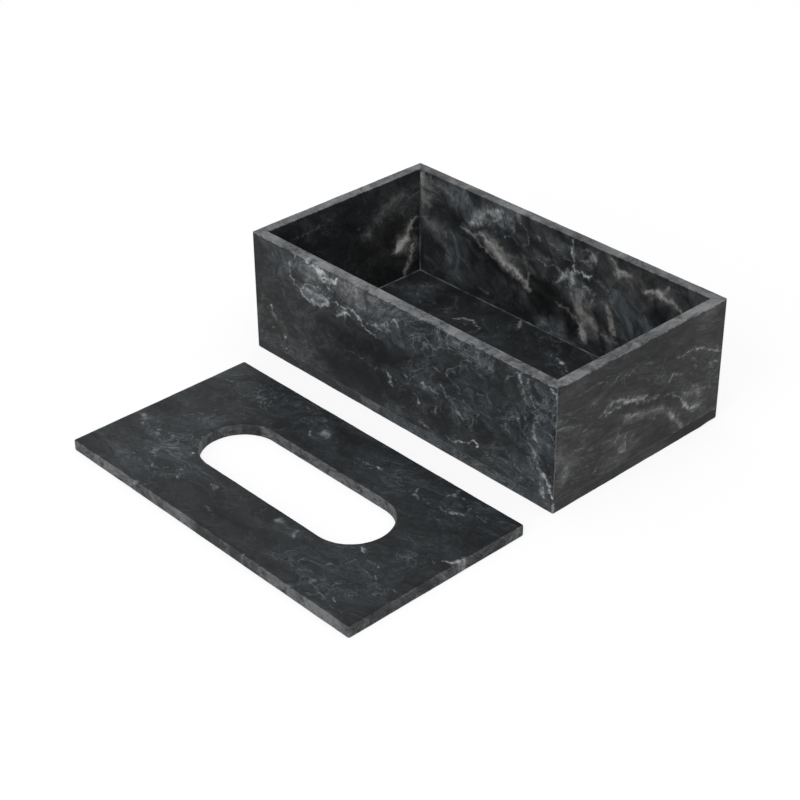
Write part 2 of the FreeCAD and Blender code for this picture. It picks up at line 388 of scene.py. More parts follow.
STROKES["back_wall_slab", "beige"] = [
    (3.4, 0.5, (1, 3), (2, 11), (1, 21)),
    (7.0, 0.27, (3, 4), (10, 12), (3, 24)),
    (4.0, 0.22, (24, 8), (32, 10), (38, 14)),
    (1.6, 0.2, (10, 5), (17, 7), (25, 5)),
    (1.6, 0.2, (13, 14), (20, 12), (29, 15)),
    (1.2, 0.5, (36, 28), (44, 29), (52, 32), (60, 36), (69, 39)),
    (3.6, 0.62, (59, 28), (65, 31), (69, 34)),
    (4.0, 0.6, (66, 33), (74, 37), (81, 40), (88, 42), (95, 47)),
    (2.4, 0.4, (57, 25), (62, 24), (68, 28), (74, 31)),
    (1.6, 0.4, (98, 38), (96, 44), (99, 50)),
    (3.2, 0.3, (80, 32), (90, 32), (102, 35)),
    (4.2, 0.42, (131, 36), (137, 44), (143, 54)),
    (4.2, 0.46, (137, 34), (144, 42), (149, 50), (153, 58)),
    (1.4, 0.4, (121, 49), (128, 50), (134, 53), (139, 58), (142, 65)),
    (2.8, 0.7, (141, 57), (143, 61), (146, 66)),
    (2.4, 0.62, (161, 35), (163, 40), (165, 46), (168, 52)),
    (3.2, 0.35, (158, 56), (164, 58), (170, 57)),
    (3.4, 0.5, (166, 12), (172, 10), (178, 8)),
    (2.2, 0.4, (163, 3), (168, 8), (169, 13)),
    (1.4, 0.42, (138, 14), (143, 12), (149, 8), (153, 3)),
    (2.4, 0.55, (187, 15), (196, 13), (203, 13), (210, 14), (217, 17)),
    (1.6, 0.4, (194, 18), (201, 10), (206, 6)),
    (2.2, 0.28, (54, 64), (61, 67)),
    (3.0, 0.25, (0, 34), (10, 36), (21, 37)),
]
STROKES["back_wall_slab", "haze"] = [
    (9.0, 0.8, (46, 22), (58, 14), (72, 6), (86, 3)),
    (6.0, 0.85, (133, 24), (130, 31), (126, 36)),
    (4.0, 0.45, (122, 33), (111, 34), (101, 37)),
    (9.0, 0.45, (104, 10), (118, 12), (130, 8)),
    (8.0, 0.5, (138, 38), (146, 50), (154, 60)),
    (10.0, 0.25, (160, 28), (184, 28), (200, 16)),
    (9.0, 0.45, (160, 8), (180, 10), (212, 12)),
    (8.0, 1.2, (1, 2), (3, 12), (1, 24)),
    (12.0, 1.3, (8, 8), (24, 12), (40, 6)),
    (6.0, 0.9, (2, 34), (22, 37)),
    (5.0, 0.5, (22, 48), (28, 56)),
    (5.0, 1.4, (108, 72), (115, 68), (125, 70)),
    (4.0, 1.0, (112, 66), (121, 64), (126, 68)),
    (14.0, 0.22, (10, 60), (44, 56), (70, 62)),
    (8.0, 0.45, (150, 36), (164, 46), (176, 42)),
]
STROKES["back_wall_slab", "dark"] = [
    (2.2, 0.9, (40, 31), (50, 35), (60, 41), (70, 44), (80, 47), (90, 49), (97, 49)),
    (1.4, 0.9, (82, 31), (90, 34), (95, 40), (97, 47)),
    (7.0, 0.45, (42, 38), (56, 46), (72, 52)),
    (6.0, 0.8, (101, 40), (114, 42), (124, 46), (131, 54), (135, 64)),
    (7.0, 0.7, (100, 48), (118, 52)),
    (4.0, 0.6, (98, 58), (106, 60), (120, 58)),
    (6.0, 0.4, (72, 16), (86, 24), (96, 30)),
    (2.2, 0.85, (153, 44), (157, 55), (160, 68)),
    (4.0, 0.7, (206, 20), (201, 27), (195, 34)),
    (6.0, 0.45, (14, 22), (26, 26), (38, 22)),
    (5.0, 0.2, (182, 24), (190, 30)),
    (3.0, 0.45, (126, 20), (130, 22)),
    (3.5, 0.7, (84, 8), (90, 12)),
    (1.6, 0.6, (142, 9), (147, 11)),
    (1.8, 0.55, (56, 36), (66, 42), (78, 46)),
    (1.5, 0.5, (76, 14), (80, 20)),
    (2.6, 0.6, (20, 20), (30, 22), (38, 25)),
    (3.0, 0.5, (14, 8), (18, 12), (26, 12)),
    (5.0, 0.4, (-1, -2), (30, -2)),
    (7.0, 0.3, (50, -2), (78, -2)),
    (6.0, 0.35, (108, -2), (134, -2)),
    (9.0, 0.3, (84, 66), (96, 64)),
]
STROKES["back_wall_slab", "brown"] = [
    (14.0, 0.5, (4, 8), (30, 14)),
    (14.0, 0.8, (84, 42), (128, 52)),
    (16.0, 0.8, (140, 48), (165, 52)),
    (14.0, 0.8, (150, 8), (215, 14)),
    (8.0, 0.5, (50, 64), (66, 66)),
]
STROKES["left_end_slab", "vein_and_highlight"] = [
    (3.4, 0.9, (104, 51), (108, 49), (112, 46)),
    (1.9, 0.6, (113, 45), (116, 41), (119, 36)),
    (1.5, 0.4, (119, 52), (118, 59), (115, 66)),
    (1.2, 0.17, (20, 12), (26, 13), (31, 12)),
    (1.2, 0.19, (34, 12), (40, 12), (45, 12)),
    (1.2, 0.21, (46, 9), (51, 10)),
    (1.0, 0.14, (57, 6), (63, 7)),
]
STROKES["left_end_slab", "beige"] = [
    (3.5, 0.18, (71, 29), (79, 31), (84, 36)),
    (5.5, 0.18, (88, 22), (96, 18), (105, 14), (114, 12)),
    (5.4, 1.1, (106, 50), (109, 49), (114, 46)),
    (3.4, 0.8, (112, 48), (115, 41), (119, 35)),
    (1.2, 0.6, (116, 36), (121, 33), (126, 35)),
    (2.6, 0.34, (121, 46), (124, 54), (126, 60)),
    (2.8, 0.62, (119, 52), (118, 60), (114, 67), (112, 72)),
]
STROKES["left_end_slab", "haze"] = [
    (7.0, 0.85, (78, 31), (96, 21), (112, 16), (126, 12)),
    (9.0, 0.6, (112, 26), (124, 22)),
    (7.0, 0.55, (108, 46), (116, 56), (116, 68)),
]
STROKES["left_end_slab", "dark"] = [
    (14.0, 0.4, (60, 20), (80, 14)),
]
STROKES["left_end_slab", "brown"] = [
    (16.0, 0.8, (90, 24), (126, 14)),
    (14.0, 0.8, (108, 44), (116, 66)),
]
STROKES["base_slab", "vein_and_highlight"] = [
    (1.0, 0.56, (62, 29), (66, 25), (71, 24), (77, 25), (82, 27)),
    (0.7, 0.54, (81, 27), (82, 31), (82, 35)),
    (1.5, 0.54, (94, 2), (96, 6), (98, 10)),
    (0.6, 0.45, (134, 18), (140, 20), (146, 21), (152, 24), (158, 27)),
    (1.0, 0.68, (145, 20), (148, 22)),
    (0.8, 0.22, (17, 11), (20, 20), (25, 27), (36, 31)),
    (0.8, 0.18, (22, 9), (36, 7), (46, 12), (50, 22), (44, 31)),
    (0.7, 0.2, (56, 6), (63, 8)),
]
STROKES["base_slab", "haze"] = [
    (9.0, 0.8, (4, 24), (18, 18), (24, 8)),
    (7.0, 0.25, (90, 34), (104, 28), (112, 35)),
    (5.0, 0.35, (64, 27), (80, 28)),
    (8.0, 0.18, (130, 16), (150, 26)),
    (3.0, 1.0, (90, 133), (120, 133), (152, 133)),
    (3.0, 0.8, (150, 134), (240, 134)),
    (4.0, 0.5, (236, 132), (243, 134)),
    (4.0, 0.35, (243, 42), (243, 133)),
]
STROKES["base_slab", "dark"] = [
    (5.0, 0.4, (36, 18), (42, 22)),
    # Painted shadow: the base's right edge darkened at the rear, under the overhanging end wall.
    (4.0, 0.6, (243, -7), (243, 34)),
    (5.0, 0.4, (150, 14), (158, 20)),
]
STROKES["base_slab", "brown"] = [
    (5.0, 0.9, (243, -4), (243, 130)),
]
STROKES["lid_slab", "vein_and_highlight"] = [
    (2.4, 0.32, (92, 16), (96, 18), (98, 21)),
    (1.2, 0.25, (85, 21), (90, 25)),
    (1.0, 0.2, (75, 20), (75, 13), (81, 9), (90, 9)),
    (1.1, 0.38, (171, 17), (174, 21), (177, 25)),
    (0.8, 0.22, (178, 20), (184, 23), (189, 24)),
    (1.5, 0.32, (193, 22), (199, 21), (206, 17)),
    (1.0, 0.22, (190, 19), (187, 11), (194, 6), (203, 9), (207, 15)),
    (0.8, 0.3, (188, 3), (190, 9)),
    (1.2, 0.38, (140, 20), (144, 20)),
    (1.8, 0.38, (7, 80), (14, 86)),
    (1.4, 0.34, (23, 84), (29, 86)),
    (1.1, 0.45, (41, 89), (46, 86)),
    (1.4, 0.5, (55, 86), (58, 85)),
    (2.4, 0.32, (39, 97), (46, 101)),
    (0.8, 0.55, (57, 105), (59, 104)),
    (1.0, 0.45, (69, 105), (72, 106)),
    (1.4, 0.35, (91, 96), (95, 97)),
    (1.8, 0.32, (139, 92), (147, 91)),
    (1.0, 0.35, (154, 91), (159, 96)),
    (0.9, 0.3, (126, 88), (129, 91)),
    (1.0, 0.35, (190, 75), (194, 77)),
    (0.7, 0.4, (207, 81), (209, 82)),
    (0.7, 0.45, (213, 115), (214, 116)),
    (0.7, 0.35, (171, 110), (173, 110)),
    (1.6, 0.55, (229, 53), (232, 50), (234, 44)),
    (0.7, 0.6, (150, 39), (158, 42)),
    (1.0, 0.3, (28, 54), (31, 57)),
    (1.2, 0.25, (104, 112), (112, 113)),
    (0.9, 0.6, (53, 126), (57, 125), (60, 124)),
    (0.6, 0.28, (150, 126), (152, 124)),
]
STROKES["lid_slab", "beige"] = [
    (8.0, 0.12, (10, 112), (40, 114)),
    (7.0, 0.1, (60, 8), (70, 6)),
]
STROKES["lid_slab", "haze"] = [
    (6.5, 0.5, (80, 14), (88, 15), (95, 19)),
    (5.0, 0.4, (150, 12), (154, 17)),
    (6.0, 0.3, (192, 10), (198, 18)),
    (12.0, 0.4, (10, 84), (38, 88), (66, 98)),
    (8.0, 0.3, (30, 66), (42, 58)),
    (8.0, 0.28, (34, 100), (52, 106)),
    (5.0, 0.38, (210, 54), (213, 64), (210, 72)),
    (7.0, 0.22, (136, 92), (156, 93)),
    (8.0, 0.2, (196, 104), (214, 108)),
    (6.0, 0.18, (4, 18), (20, 24)),
    (6.0, 0.2, (98, 94), (112, 92)),
]
STROKES["lid_slab", "dark"] = [
    (8.0, 0.4, (98, 8), (112, 14), (120, 22)),
    (9.0, 0.35, (88, 106), (120, 110), (152, 106)),
    (7.0, 0.4, (214, 18), (222, 26), (226, 36)),
    (6.0, 0.25, (226, 68), (228, 84)),
    (4.0, 0.6, (112, 126), (134, 126)),
    (4.0, 0.5, (142, 126), (160, 126)),
    (5.0, 0.45, (236, 6), (236, 70), (236, 120)),
    (6.0, 0.25, (6, 66), (14, 68)),
    (5.0, 0.3, (60, 30), (84, 33), (110, 34)),
    (5.0, 0.25, (196, 40), (190, 52)),
    (3.5, 0.6, (62, 39), (52, 48), (48, 62)),
]


HAND_TREMOR = ((15.0, 0.45), (6.5, 0.4), (3.1, 0.35))  # how drawn strokes waver: wave length and amount
CORE, HALO, HALO_SPREAD = 0.8, 0.2, 2.4  # a stroke's own strength, that of the glow round it, and its width
FARTHEST = 1e9


def nearest_on(path, u, v):
    """Each point's distance from a path, positive on its right, and its place along the path."""
    best = np.full(u.shape, FARTHEST)
    along, side = np.zeros(u.shape), np.ones(u.shape)
    legs = np.hypot(*np.diff(path, axis=0).T)
    for start, end, leg, mark in zip(path[:-1], path[1:], legs, np.cumsum(legs) - legs):
        run = (end - start) / leg
        t = np.clip((u - start[0]) * run[0] + (v - start[1]) * run[1], 0, leg)
        gap = np.hypot(u - start[0] - t * run[0], v - start[1] - t * run[1])
        closer = gap < best
        best[closer] = gap[closer]
        along[closer] = (mark + t)[closer]
        side[closer] = np.sign((v - start[1]) * run[0] - (u - start[0]) * run[1])[closer]
    return best * side, along, legs.sum()


def smooth_path(points, steps=6):
    """A smooth line through the points."""
    p = np.array([points[0], *points, points[-1]], float)
    t = np.linspace(0, 1, steps, endpoint=False)[:, None]
    parts = []
    for a, b, c, d in zip(p[:-3], p[1:-2], p[2:-1], p[3:]):
        square, cube = 2 * a - 5 * b + 4 * c - d, 3 * b - a - 3 * c + d
        parts.append(0.5 * (2 * b + (c - a) * t + square * t**2 + cube * t**3))
    return np.concatenate([*parts, p[-1:]])


def swell(u, v, wave, amount, seed):
    """A random smooth shift for each point, the sum of waves that run all ways."""
    random = np.random.default_rng(seed)
    total = np.zeros(u.shape)
    for heading in random.uniform(0, 2 * np.pi, 8):
        stretch = wave * random.uniform(0.7, 1.5)
        total += np.sin(2 * np.pi * ((u * np.cos(heading) + v * np.sin(heading)) / stretch + random.random()))
    return amount * total / 2


def streaks(along, across, seed, size=61):
    """Smooth random values from 0 to 1, on a plane."""
    total = np.zeros(along.shape)
    for octave, weight in enumerate((0.6, 0.4)):
        grid = np.random.default_rng(seed + octave).random((size, size))
        x, y = along * 2.3**octave, across * 2.3**octave
        i, j = np.floor(x).astype(int), np.floor(y).astype(int)
        s, t = (3 - 2 * (x - i)) * (x - i) ** 2, (3 - 2 * (y - j)) * (y - j) ** 2
        i2, j2 = (i + 1) % size, (j + 1) % size
        i, j = i % size, j % size
        near = grid[i, j] * (1 - s) + grid[i2, j] * s
        far = grid[i, j2] * (1 - s) + grid[i2, j2] * s
        total += weight * (near * (1 - t) + far * t)
    return total


def drawn(strokes, u, v, seed):
    """How strongly the strokes colour each point of a face. Each stroke is streaked along its length."""
    total = np.zeros(u.shape)
    for octave, (wave, amount) in enumerate(HAND_TREMOR):
        u, v = u + swell(u, v, wave, amount, octave), v + swell(u, v, wave, amount, octave + 9)
    for number, (half_width, strength, *points) in enumerate(strokes):
        path = smooth_path(points)
        reach = 3.5 * half_width
        near = (u > path[:, 0].min() - reach) & (u < path[:, 0].max() + reach)
        near &= (v > path[:, 1].min() - reach) & (v < path[:, 1].max() + reach)
        if not near.any():
            continue
        gap, along, full = nearest_on(path, u[near], v[near])
        width = half_width * (0.5 + 0.5 * np.sin(np.pi * np.clip(along / full, 0.02, 0.98)))
        field = CORE * np.exp(-((gap / width) ** 2)) + HALO * np.exp(-((gap / width / HALO_SPREAD) ** 2))
        fibre_length, fibre_width = 3 + 2 * half_width, 0.4 + 0.3 * half_width + 0.04 * half_width**2
        fibre = streaks(along / fibre_length, gap / fibre_width, seed + 31 * number)
        field *= strength * np.clip(0.35 + 1.3 * fibre, 0, 1.5)
        total[near] = 1 - (1 - total[near]) * (1 - np.minimum(field, 1))
    return total


# ---- mesh helpers -----------------------------------------------------------------------------------------
def stops(low, high, fine_low, fine_high, step):
    """Positions from low to high: close together in the fine band at each end, about a step apart between."""
    shares = np.array([0.0, 0.08, 0.17, 0.27, 0.38, 0.5, 0.64, 0.8])  # of a fine band's width
    first = low + fine_low * shares if fine_low else np.array([low])
    last = high - fine_high * shares[::-1] if fine_high else np.array([high])
    start, end = low + fine_low, high - fine_high
    count = max(1, round((end - start) / step))
    middle = np.linspace(start, end, count + 1)
    return np.unique(np.round(np.concatenate([first, middle, last]), 9))


def lattice_shell(xs, ys, zs):
    """The outer skin of a lattice of positions, as points and outward quads."""
    shape = (len(xs), len(ys), len(zs))
    skin = np.zeros(shape, bool)
    skin[[0, -1]] = skin[:, [0, -1]] = skin[:, :, [0, -1]] = True
    index = np.full(shape, -1)
    index[skin] = np.arange(skin.sum())
    i, j, k = np.nonzero(skin)
    points = np.stack([xs[i], ys[j], zs[k]], 1)
    quads = []
    for axis in range(3):
        for side in (0, -1):
            sheet = np.take(index, side, axis)
            a, b, c, d = sheet[:-1, :-1], sheet[1:, :-1], sheet[1:, 1:], sheet[:-1, 1:]
            turned = (side == 0) != (axis == 1)
            ring = (d, c, b, a) if turned else (a, b, c, d)
            quads.append(np.stack([r.ravel() for r in ring], 1))
    return points, np.concatenate(quads)


def edge_variation(along, amount, seed):
    """A number near 1 for each position along an edge, as a hand-eased edge varies in width."""
    random = np.random.default_rng(seed)
    total = np.zeros(along.shape)
    for wave in EDGE_WAVES:
        total += math.sqrt(wave / EDGE_WAVES[0]) * np.sin(2 * np.pi * (along / wave + random.random()))
    return 1 + amount * total / EDGE_WAVE_SUM


def round_over(first, second, radius):
    """Rolls the points near an edge onto an arc. first and second are the depths of each point below the two
    faces that meet there. Gives the new depths, and how far onto the arc each point is, from 0 to 1."""
    near = (first < radius) & (second < radius)
    a, b = np.where(near, radius - first, 0.0), np.where(near, radius - second, 0.0)
    long_side, short_side = np.maximum(a, b), np.minimum(a, b)
    shrink = np.where(near, long_side / np.maximum(np.hypot(a, b), 1e-12), 1.0)
    onto = np.where(near, short_side / np.maximum(long_side, 1e-12), 0.0)
    return np.where(near, radius - a * shrink, first), np.where(near, radius - b * shrink, second), onto


def new_piece(name, points, quads, material, body, values):
    """A mesh object from points and quads, with its values by point, riding on its body."""
    mesh = bpy.data.meshes.new(name)
    mesh.from_pydata(points.tolist(), [], quads.tolist())
    for key, numbers in values.items():
        layer = mesh.attributes.new(key, "FLOAT", "POINT")
        layer.data.foreach_set("value", np.asarray(numbers, np.float32))
    mesh.validate()
    mesh.shade_smooth()
    mesh.set_sharp_from_angle(angle=SHARP_FROM)
    mesh.materials.append(material)
    piece = bpy.data.objects.new(name, mesh)
    bpy.context.scene.collection.objects.link(piece)
    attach(piece, body)
    return piece


# ---- node helpers -----------------------------------------------------------------------------------------
class Wiring:
    """Adds nodes to one tree and joins them up."""

    def __init__(self, tree):
        self.tree = tree

    def add(self, kind, inputs=None, **settings):
        """A node with its settings, its inputs either joined to a socket or given a value."""
        made = self.tree.nodes.new(kind)
        for key, value in settings.items():
            setattr(made, key, value)
        for key, value in (inputs or {}).items():
            self.feed(value, made.inputs[key])
        made.location = (180 * (len(self.tree.nodes) % 12), -220 * (len(self.tree.nodes) // 12))
        return made

    def feed(self, value, socket):
        """Joins a socket to another, or gives it a value."""
        if isinstance(value, bpy.types.NodeSocket):
            self.tree.links.new(value, socket)
        else:
            socket.default_value = value

    def math(self, operation, a, b=0.0, clamp=False):
        """One sum."""
        return self.add("ShaderNodeMath", {0: a, 1: b}, operation=operation, use_clamp=clamp).outputs[0]

    def between(self, value, low, high, to_low=0.0, to_high=1.0):
        """A smooth step of value between low and high."""
        inputs = {"Value": value, "From Min": low, "From Max": high, "To Min": to_low, "To Max": to_high}
        return self.add("ShaderNodeMapRange", inputs, interpolation_type="SMOOTHSTEP").outputs[0]

    def mix(self, factor, a, b):
        """One colour over another."""
        made = self.add("ShaderNodeMix", data_type="RGBA", clamp_factor=True)
        self.feed(factor, made.inputs[0])
        self.feed(a, made.inputs[6])
        self.feed(b, made.inputs[7])
        return made.outputs[2]

    def noise(self, place, scale, detail, roughness=0.5, distortion=0.0):
        """The values of a noise texture, from 0 to 1."""
        inputs = {
            "Vector": place, "Scale": scale, "Detail": detail,
            "Roughness": roughness, "Distortion": distortion,
        }
        return self.add("ShaderNodeTexNoise", inputs).outputs["Fac"]

    def attribute(self, name):
        """A value stored by point on the mesh."""
        return self.add("ShaderNodeAttribute", attribute_name=name, attribute_type="GEOMETRY").outputs["Fac"]


def new_tree(name, tree_type, inputs, outputs):
    """An empty node tree with named sockets. Gives the tree, its wiring and its inputs."""
    tree = bpy.data.node_groups.new(name, tree_type)
    for label, kind, default in inputs:
        socket = tree.interface.new_socket(name=label, in_out="INPUT", socket_type="NodeSocket" + kind)
        if default is not None:
            socket.default_value = default
    for label, kind in outputs:
        tree.interface.new_socket(name=label, in_out="OUTPUT", socket_type="NodeSocket" + kind)
    return tree, Wiring(tree), tree.nodes.new("NodeGroupInput").outputs


def group_output(wiring, **values):
    """Joins a group's results to its output sockets, by name with spaces as underscores."""
    made = wiring.tree.nodes.new("NodeGroupOutput")
    for key, value in values.items():
        wiring.tree.links.new(value, made.inputs[key.replace("_", " ")])


# ---- shader groups that the slabs share -------------------------------------------------------------------
# Scales of the finer noises, as multiples of a group's own scale.
MOTTLE_SCALE, FLECK_SCALE, PATCH_SCALE, BREAK_SCALE, SCUFF_SCALE = 4.0, 17.0, 0.42, 5.0, 0.08


def build_folded_place():
    """Bends straight coordinates into the folds of pressed marble."""
    tree, w, given = new_tree(
        "Folded stone place",
        "ShaderNodeTree",
        [("Vector", "Vector", None), ("Scale", "Float", 12.0), ("Fold", "Float", 0.02)],
        [("Vector", "Vector")],
    )
    bend = w.add("ShaderNodeTexNoise", {"Vector": given["Vector"], "Scale": given["Scale"], "Detail": 3.0})
    middle = {0: bend.outputs["Color"], 1: (0.5, 0.5, 0.5)}
    centred = w.add("ShaderNodeVectorMath", middle, operation="SUBTRACT")
    amount = w.add("ShaderNodeVectorMath", {0: centred.outputs[0]}, operation="SCALE")
    w.feed(given["Fold"], amount.inputs["Scale"])
    moved = w.add("ShaderNodeVectorMath", {0: given["Vector"], 1: amount.outputs[0]}, operation="ADD")
    group_output(w, Vector=moved.outputs[0])
    return tree


def build_clouds():
    """Soft light and dark clouds of the ground, with two finer mottles over them."""
    tree, w, given = new_tree(
        "Stone clouds",
        "ShaderNodeTree",
        [
            ("Vector", "Vector", None), ("Scale", "Float", 22.0), ("Drift", "Float", 1.0),
            ("Mottle", "Float", 0.8), ("Fleck", "Float", 0.5),
        ],
        [("Tone", "Float"), ("Ragged", "Float")],
    )
    large = w.noise(given["Vector"], given["Scale"], 3.0, 0.55)
    large = w.math("MULTIPLY", w.math("SUBTRACT", large, 0.5), given["Drift"])
    mottle_scale = w.math("MULTIPLY", given["Scale"], MOTTLE_SCALE)
    mottle = w.noise(given["Vector"], mottle_scale, 4.0, 0.62, 0.6)
    mottle = w.math("SUBTRACT", mottle, 0.5)
    fleck_scale = w.math("MULTIPLY", given["Scale"], FLECK_SCALE)
    fleck = w.noise(given["Vector"], fleck_scale, 3.0, 0.6, 0.3)
    fleck = w.math("SUBTRACT", fleck, 0.5)
    tone = w.math("ADD", large, w.math("MULTIPLY", mottle, given["Mottle"]))
    tone = w.math("ADD", tone, w.math("MULTIPLY", fleck, given["Fleck"]))
    group_output(w, Tone=tone, Ragged=w.math("ADD", mottle, w.math("MULTIPLY", fleck, 1.4)))
    return tree


def build_wisps():
    """Thin ragged streaks, gathered in patches."""
    tree, w, given = new_tree(
        "Ragged wisps",
        "ShaderNodeTree",
        [
            ("Vector", "Vector", None), ("Scale", "Float", 30.0), ("Density", "Float", 0.0),
            ("Sharpness", "Float", 60.0),
        ],
        [("Mask", "Float")],
    )
    ridges = w.noise(given["Vector"], given["Scale"], 5.0, 0.58)
    ridges = w.math("ABSOLUTE", w.math("SUBTRACT", ridges, 0.5))
    ridges = w.math("SUBTRACT", 1.0, w.math("MULTIPLY", ridges, given["Sharpness"]))
    patch_scale = w.math("MULTIPLY", given["Scale"], PATCH_SCALE)
    patches = w.noise(given["Vector"], patch_scale, 3.0, 0.6)
    patches = w.between(w.math("ADD", patches, given["Density"]), 0.45, 0.8)
    broken_scale = w.math("MULTIPLY", given["Scale"], BREAK_SCALE)
    broken = w.noise(given["Vector"], broken_scale, 4.0, 0.7)
    mask = w.math("MULTIPLY", w.between(ridges, 0.0, 1.0), patches)
    group_output(w, Mask=w.math("MULTIPLY", mask, w.between(broken, 0.35, 0.65)))
    return tree


def build_grain():
    """Fine crystal grain of the cut stone."""
    tree, w, given = new_tree(
        "Stone grain",
        "ShaderNodeTree",
        [("Vector", "Vector", None), ("Scale", "Float", 900.0)],
        [("Grain", "Float"), ("Scuffs", "Float")],
    )
    grain = w.noise(given["Vector"], given["Scale"], 3.0, 0.7)
    scuff_scale = w.math("MULTIPLY", given["Scale"], SCUFF_SCALE)
    scuffs = w.noise(given["Vector"], scuff_scale, 5.0, 0.7)
    group_output(w, Grain=grain, Scuffs=scuffs)
    return tree


def shared(name):
    """A shader group by name, built the first time it is asked for."""
    makers = {
        "Folded stone place": build_folded_place,
        "Stone clouds": build_clouds,
        "Ragged wisps": build_wisps,
        "Stone grain": build_grain,
    }
    return bpy.data.node_groups.get(name) or makers[name]()


def blank_material(name):
    """A material with a Principled BSDF, its wiring and its object coordinates."""
    material = bpy.data.materials.new(name)
    material.use_nodes = True
    wiring = Wiring(material.node_tree)
    surface = material.node_tree.nodes["Principled BSDF"]
    place = wiring.add("ShaderNodeTexCoord").outputs["Object"]
    return material, wiring, surface, place


def use(wiring, name, **inputs):
    """Places a shared group with its values, by input name with spaces as underscores."""
    made = wiring.add("ShaderNodeGroup")
    made.node_tree = shared(name)
    for key, value in inputs.items():
        wiring.feed(value, made.inputs[key.replace("_", " ")])
    return made.outputs


def opaque(rgb):
    """A colour with its alpha."""
    return (*rgb, 1.0)


# What the drawn marks do to the marble: haze lightens its ground and dark deepens it.
HAZE_LIFT, DARK_DROP, GROUND_SHARE = 0.24, 0.32, 0.085
# Layers of wisps, each with its scale, its sharpness and how much of it shows. Haze gathers them, and dark
# clears them.
WISP_LAYERS = ((34.0, 50.0, 0.5), (90.0, 55.0, 0.65), (210.0, 45.0, 0.35))
HAZE_WISPS, DARK_WISPS = 0.28, 0.2
# A vein shows from the first value of its stroke on, and is whole at the second.
VEIN_FROM, VEIN_WHOLE = 0.03, 1.15
# How ragged and how patchy the beige and the white veins are, and how even apart from that.
BEIGE_BREAKS, WHITE_BREAKS, EVENNESS = (0.5, 1.3), (1.6, 0.6), 0.95
# Honed stone: how ragged its limit is, where it begins and is whole, and where the polish ends beside it.
RUB_RAGGED, RUB_RANGE, POLISH_END = 1.6, (0.15, 0.8), 0.25
# Its saw marks, the two values that they run between, and what haze and dark add to them and take away.
SAW_SCALE, SAW_SHARE, SAW_RANGE = 700.0, 0.45, (-0.31, 0.31)
HAZE_MARKS, DARK_MARKS = 0.1, 0.4
# The finest relief, and how much scuffs and rubbing roughen a face.
GRAIN_SCALE, GRAIN_BUMP, BUMP_HEIGHT = 900.0, 0.12, 0.0002
SCUFF_ROUGHNESS, RUB_ROUGHNESS = 0.16, 0.25
# The way along which the saw marks are drawn out, by axis.
ALONG_X, ALONG_Y = (0.2, 1.0, 1.0), (1.0, 0.2, 1.0)


